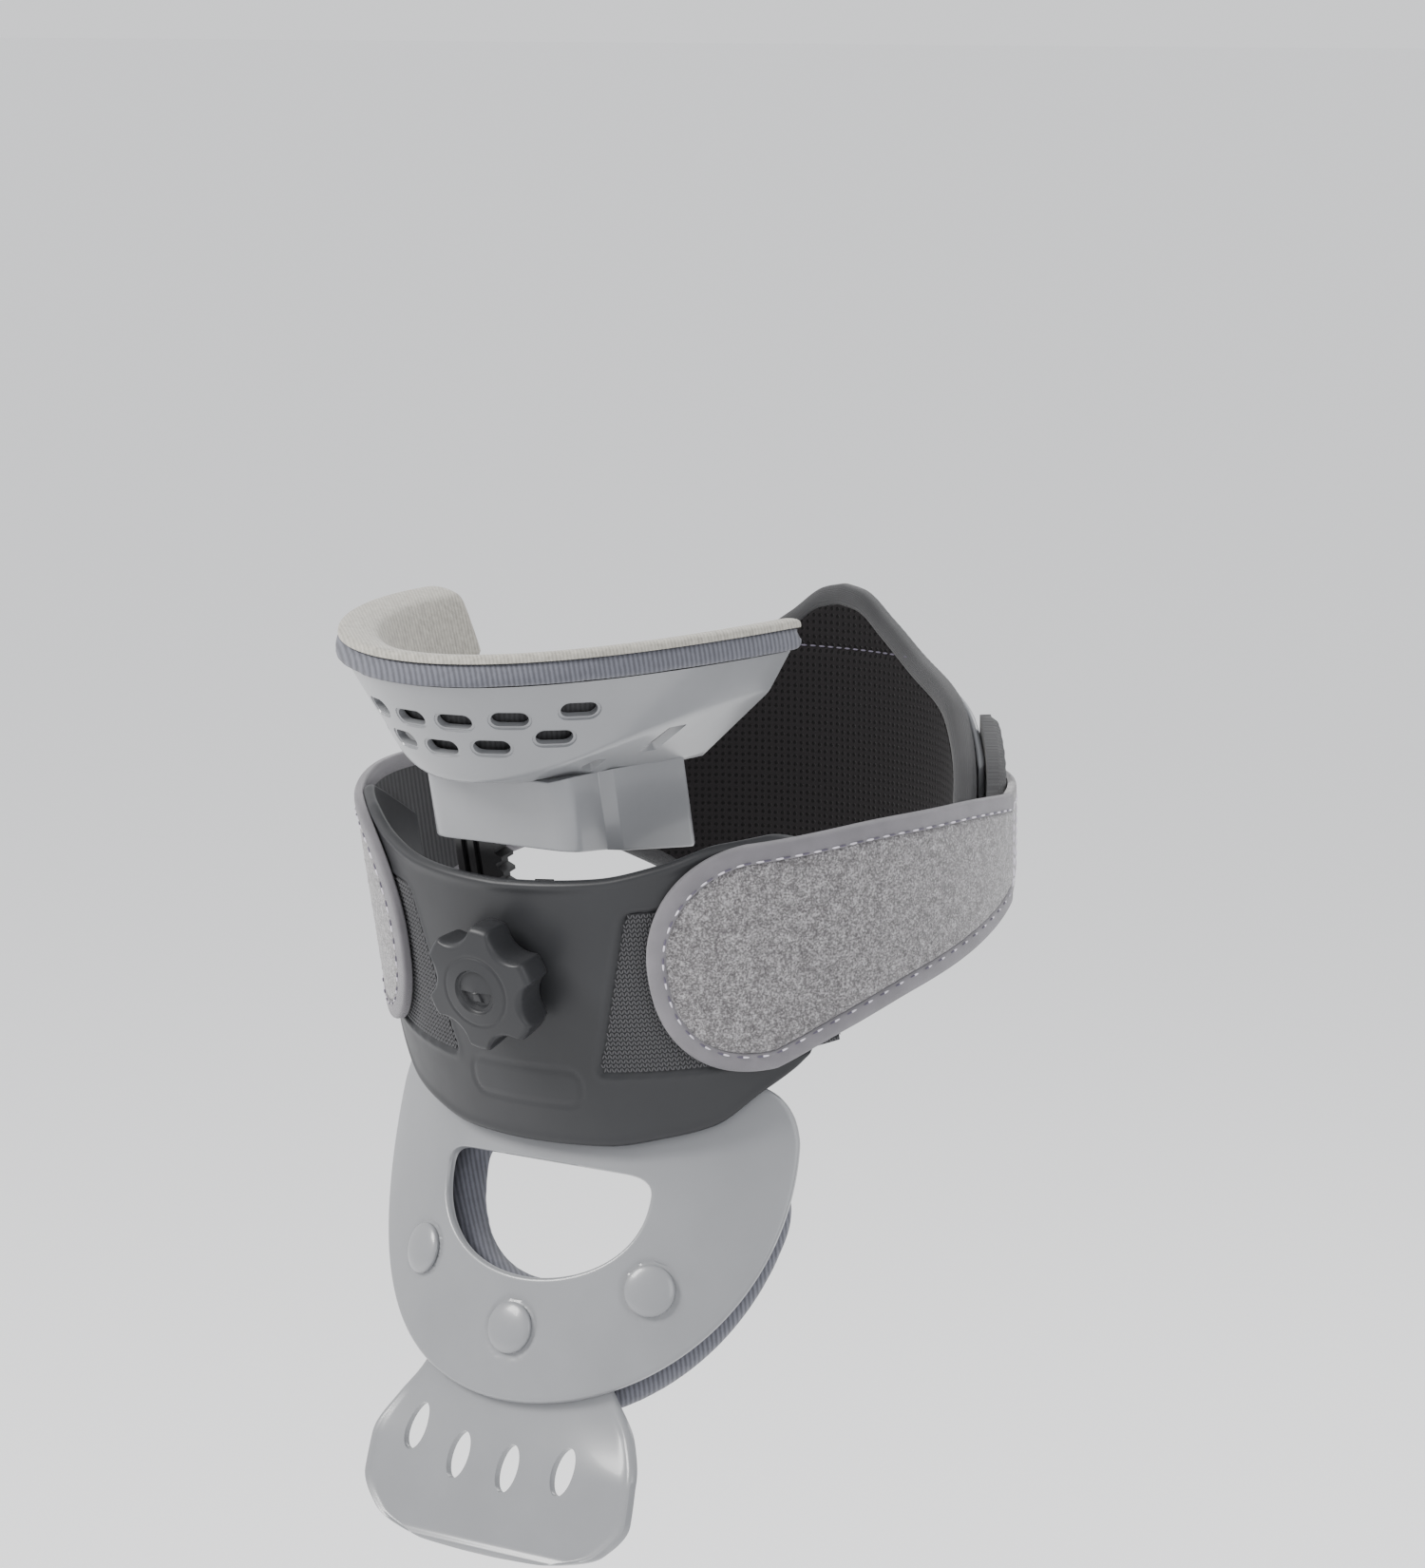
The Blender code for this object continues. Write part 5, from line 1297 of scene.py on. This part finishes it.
def bindingSection(side, out, inner):
    # a folded tape seen end on: rounded over the edge, with a low rolled inner edge
    thick = strap["bindingThickness"]
    corners = [(0.0, 0.0), (0.0, 0.25 * thick), (0.0, 0.75 * thick), (0.12, 0.98 * thick),
               (0.5, 1.02 * thick), (0.88, 0.97 * thick), (1.0, 0.86 * thick), (1.0, 0.6 * thick),
               (1.0, 0.0)]
    (phiOut, zOut), (phiIn, zIn) = out, inner
    points = []
    for across, rise in smoothLoop(corners, 2, 0.4):
        points.append(strapPoint(side, phiOut + (phiIn - phiOut) * across, zOut + (zIn - zOut) * across,
                                 strapBase + max(rise, 0.0)))
    return points


def addBinding(side, word):
    end = strap["seam"] - 0.2
    outerUpper, outerLower = strapLoop(0, end, 130)
    innerUpper, innerLower = strapLoop(strap["binding"], end, 130)
    outer = outerUpper + outerLower[::-1][1:]
    inner = innerUpper + innerLower[::-1][1:]
    loops = [bindingSection(side, a, b) for a, b in zip(outer, inner)]
    weave = [[(k * 1.5, i * 0.9, 0.0) for i in range(len(loops[0]))] for k in range(len(loops))]
    piece = sweep("strap_edge_" + word, loops, finishes["binding"], weave=weave, angle=70)
    settle(piece, "wrap_strap_" + word, "binding_tape", "strap_binding_" + word)
    rise = strapBase + strap["bindingThickness"] + 0.02
    share = 0.86
    path = []
    for (phiOut, zOut), (phiIn, zIn) in zip(outer, inner):
        if phiOut > strap["seam"] - 2.4:
            continue
        path.append(strapPoint(side, phiOut + (phiIn - phiOut) * share, zOut + (zIn - zOut) * share, rise))
    for start, finish, label in ((0.6, "paleThread", "pale"), (3.6, "darkThread", "dark")):
        addStitches(f"strap_stitch_{label}_{word}", path, "wrap_strap_" + word, "binding_tape",
                    finishes[finish], start)


def addAnchor(side, word):
    start, end = strap["seam"] + 0.2, 180 - strap["anchorEnd"]
    low, high = strapEdges(strap["seam"])

    def rowsAt(phi):
        taper = (phi - start) * 0.28
        for z in spread(low + taper, high - taper, 36):
            edge = min(high - taper - z, z - low - taper, (end - phi) * 1.7)
            puffed = strap["thickness"] - roundedEdge(edge, 1.3)
            puffed += 0.1 * noise.fractal(Vector((phi * 1.3, z * 0.8, side)), 0.7, 2.0, 4)
            yield (strapPoint(side, phi, z, strapBase + puffed), strapPoint(side, phi, z, strapBase),
                   (phi * 1.7, z, 0.0))
    piece = sheet("anchor_tab_" + word, spread(start, end, 60), rowsAt, finishes["loop"])
    settle(piece, "ring", "loop_fabric", "strap_anchor_" + word)
    addTack(side, word, start, low, high)


def addTack(side, word, start, low, high):
    # a boxed cross of stitches where the strap is sewn down
    near, far = start + 1.6, start + 8.5
    rise = strapBase + strap["thickness"] + 0.05
    corners = [(near, low + 5), (near, high - 5), (far, high - 6), (far, low + 6), (near, low + 5),
               (far, high - 6)]
    path = []
    for (p0, z0), (p1, z1) in zip(corners, corners[1:]):
        path += [strapPoint(side, p0 + (p1 - p0) * s, z0 + (z1 - z0) * s, rise) for s in spread(0, 0.96, 14)]
    addStitches("tack_" + word, path, "ring", "binding_tape", finishes["paleThread"], 0.5, 3.4, 2.6, 0.7)


for side, word in ((-1, "right"), (1, "left")):
    addStrapCore(side, word)
    addBinding(side, word)
    addAnchor(side, word)
print("straps done")


rear = {"inner": 82.7, "thickness": 6.0, "half": 63.4, "binding": 7.0, "lining": 1.2, "plate": 2.5,
        "plateHalf": 57.4, "pocket": (45.0, 66.5), "seam": 66.0,
        "top": ((0, 87.0), (5, 85.4), (13, 77.0), (24, 66.5), (41, 56.5), (47.5, 49.8), (56, 39.7),
                (63.4, 28.0)),
        "bottom": ((0, -30.0), (25, -24.0), (45, -9.0), (63.4, 4.0))}
rearTopAt = curveThrough(rear["top"])
rearBottomAt = curveThrough(rear["bottom"])


def rearSheet(name, innerRadius, outerRadius, inset, half, counts, finish, edgeRound, quilt=0.0):
    reach = half - math.degrees(inset / rear["inner"])

    def rowsAt(theta):
        top, bottom = rearTopAt(abs(theta)) - inset, rearBottomAt(abs(theta)) + inset
        for z in spread(bottom, top, counts[1]):
            drop = roundedEdge(min(top - z, z - bottom, (reach - abs(theta)) * 1.5), edgeRound)
            seam = quilt * bump(z - rear["seam"], 1.6)
            yield (onRear(theta, z, outerRadius - drop), onRear(theta, z, innerRadius + drop * 0.5 + seam),
                   (theta * 1.5, z, 0.0))
    return sheet(name, spread(-reach, reach, counts[0]), rowsAt, finish)


def rearEdge(inset, count):
    reach = rear["half"] - math.degrees(inset / rear["inner"])
    thetas = spread(-reach, reach, count)
    upper = [(t, rearTopAt(abs(t)) - inset) for t in thetas]
    lower = [(t, rearBottomAt(abs(t)) + inset) for t in reversed(thetas)]
    side = [(reach, z) for z in spread(upper[-1][1], lower[0][1], 12)[1:-1]]
    back = [(-reach, z) for z in spread(lower[-1][1], upper[0][1], 12)[1:-1]]
    return upper + side + lower + back


def addRearBinding():
    inner, outer = rear["inner"] - 0.3 - rear["lining"], rear["inner"] + rear["thickness"]
    loops, weave = [], []
    for k, (a, b) in enumerate(zip(rearEdge(0, 150), rearEdge(rear["binding"], 150))):
        rib = 0.16 * math.cos(math.pi * k)
        corners = [(1.0, inner), (0.35, inner + 0.2), (0.03, inner + 2.0), (0.0, (inner + outer) / 2),
                   (0.03, outer - 1.6), (0.35, outer - 0.2), (1.0, outer), (1.0, (inner + outer) / 2)]
        section = smoothLoop(corners, 3, 0.4)
        loop = []
        for across, radius in section:
            swell = rib * (1 - across)
            middle = (inner + outer) / 2
            loop.append(onRear(a[0] + (b[0] - a[0]) * across, a[1] + (b[1] - a[1]) * across,
                               middle + (radius - middle) * (1 + swell * 0.12)))
        loops.append(loop)
        weave.append([(k * 1.6, i * 0.7, 0.0) for i in range(len(loop))])
    piece = sweep("rear_edge_tape", loops, finishes["ribbed"], capped=False, weave=weave, angle=70)
    settle(piece, "ring", "ribbed_tape", "rear_binding")


def addPocket(side, word):
    base = rear["inner"] + rear["thickness"] + 0.3 + rear["plate"] + 0.3
    first, last = rear["pocket"]

    def rowsAt(theta):
        limit = min(theta, rear["half"])
        low, high = rearBottomAt(limit) + 1, rearTopAt(limit) - 1
        for z in spread(low, high, 40):
            edge = min(high - z, z - low, (theta - first) * 1.6, (last - theta) * 1.6)
            ribs = 0.25 * (0.5 + 0.5 * math.cos(z * 2.2))
            yield (onRear(side * theta, z, ring["radius"] - roundedEdge(edge, 2.4) - ribs),
                   onRear(side * theta, z, base), (theta * 1.5, z, 0.0))
    piece = sheet("rear_pocket_cloth_" + word, spread(first, last, 40), rowsAt, finishes["ribbed"])
    settle(piece, "ring", "ribbed_tape", "rear_pocket_" + word)


def addRear():
    inset = rear["binding"] + 0.3
    outer = rear["inner"] + rear["thickness"]
    foam = rearSheet("rear_foam", rear["inner"] + 0.2, outer - 0.2, inset, rear["half"], (110, 60),
                     finishes["padEdge"], 1.5)
    puff(foam, 0.2)
    settle(foam, "ring", "pad_foam", "rear_pad")
    skin = rear["inner"] - 0.3
    lining = rearSheet("rear_mesh", skin - rear["lining"], skin, inset - 0.6, rear["half"], (160, 120),
                       finishes["mesh"], 0.4, 0.8)
    settle(lining, "ring", "mesh_lining", "rear_lining")
    plate = rearSheet("rear_shell", outer + 0.3, outer + 0.3 + rear["plate"], 5.0, rear["plateHalf"],
                      (130, 70), finishes["light"], 1.0)
    settle(plate, "ring", "light_plastic", "rear_plate")
    addRearBinding()
    for side, word in ((-1, "right"), (1, "left")):
        addPocket(side, word)
    path = [onRear(theta, rear["seam"], skin - rear["lining"] + 0.5) for theta in spread(-21, 21, 60)]
    addStitches("lining_seam", path, "ring", "mesh_lining", finishes["darkThread"], 0.5, 3.2, 2.3, 0.6)


addRear()
print("rear panel done")


kept = {
    "black": ["gear_housing", "rack"],
    "acetal": ["pinion", "pinion_spacer", "shaft_bush"],
    "steel": ["knob_screw", "drive_shaft", "shaft_clip", "detent_spring", "rack_screw_1", "rack_screw_2",
              "hinge_pin_left", "hinge_pin_right", "stud_washer_left", "stud_washer_center",
              "stud_washer_right"]
             + [f"housing_screw_{k}" for k in (1, 2, 3, 4)],
}
for finish, names in kept.items():
    for name in names:
        for materialSlot in nodes[name].material_slots:
            materialSlot.material = finishes[finish]


# in metres, apart from the lens
view = {"camera": (0.8502, -1.2044, 0.2786), "target": (0.0016, 0.0075, 0.0311), "lens": 109.1,
        "floor": -0.55, "floorReach": 60.0}
lights = {
    "key": ((-0.9, -1.3, 1.2), (0.8, 0.8), 56, (1, 0.99, 0.97)),
    "fill": ((1.5, -0.7, 0.5), (1.0, 1.2), 12, (0.97, 0.98, 1)),
    "rim": ((0.5, 1.4, 1.0), (1.2, 0.8), 16, (1, 1, 1)),
}


def addLight(name, place, size, power, colour):
    light = bpy.data.lights.new(name, "AREA")
    light.shape = "RECTANGLE"
    light.size, light.size_y = size
    light.energy = power
    light.color = colour
    lamp = bpy.data.objects.new(name, light)
    bpy.context.scene.collection.objects.link(lamp)
    lamp.location = place
    lamp.rotation_euler = (Vector((0, 0, 0)) - Vector(place)).to_track_quat("-Z", "Y").to_euler()


def addStage():
    floorMesh = bpy.data.meshes.new("floor")
    reach, z = view["floorReach"], view["floor"]
    corners = [(-reach, -reach, z), (reach, -reach, z), (reach, reach, z), (-reach, reach, z)]
    floorMesh.from_pydata(corners, [], [(0, 1, 2, 3)])
    floor = bpy.data.objects.new("floor", floorMesh)
    bpy.context.scene.collection.objects.link(floor)
    pale, _, _ = startFinish("paleFloor", (0.95, 0.95, 0.955), 0.9)
    floorMesh.materials.append(pale)
    world = bpy.data.worlds.new("studio")
    world.use_nodes = True
    world.node_tree.nodes["Background"].inputs["Color"].default_value = (0.93, 0.94, 0.96, 1)
    world.node_tree.nodes["Background"].inputs["Strength"].default_value = 1.15
    bpy.context.scene.world = world
    for name, values in lights.items():
        addLight(name, *values)
    lens = bpy.data.cameras.new("camera")
    lens.sensor_fit = "VERTICAL"
    lens.sensor_height = 36
    lens.lens = view["lens"]
    camera = bpy.data.objects.new("camera", lens)
    bpy.context.scene.collection.objects.link(camera)
    camera.location = view["camera"]
    aim = Vector(view["target"]) - Vector(view["camera"])
    camera.rotation_euler = aim.to_track_quat("-Z", "Y").to_euler()
    bpy.context.scene.camera = camera


addStage()
print("stage ready")
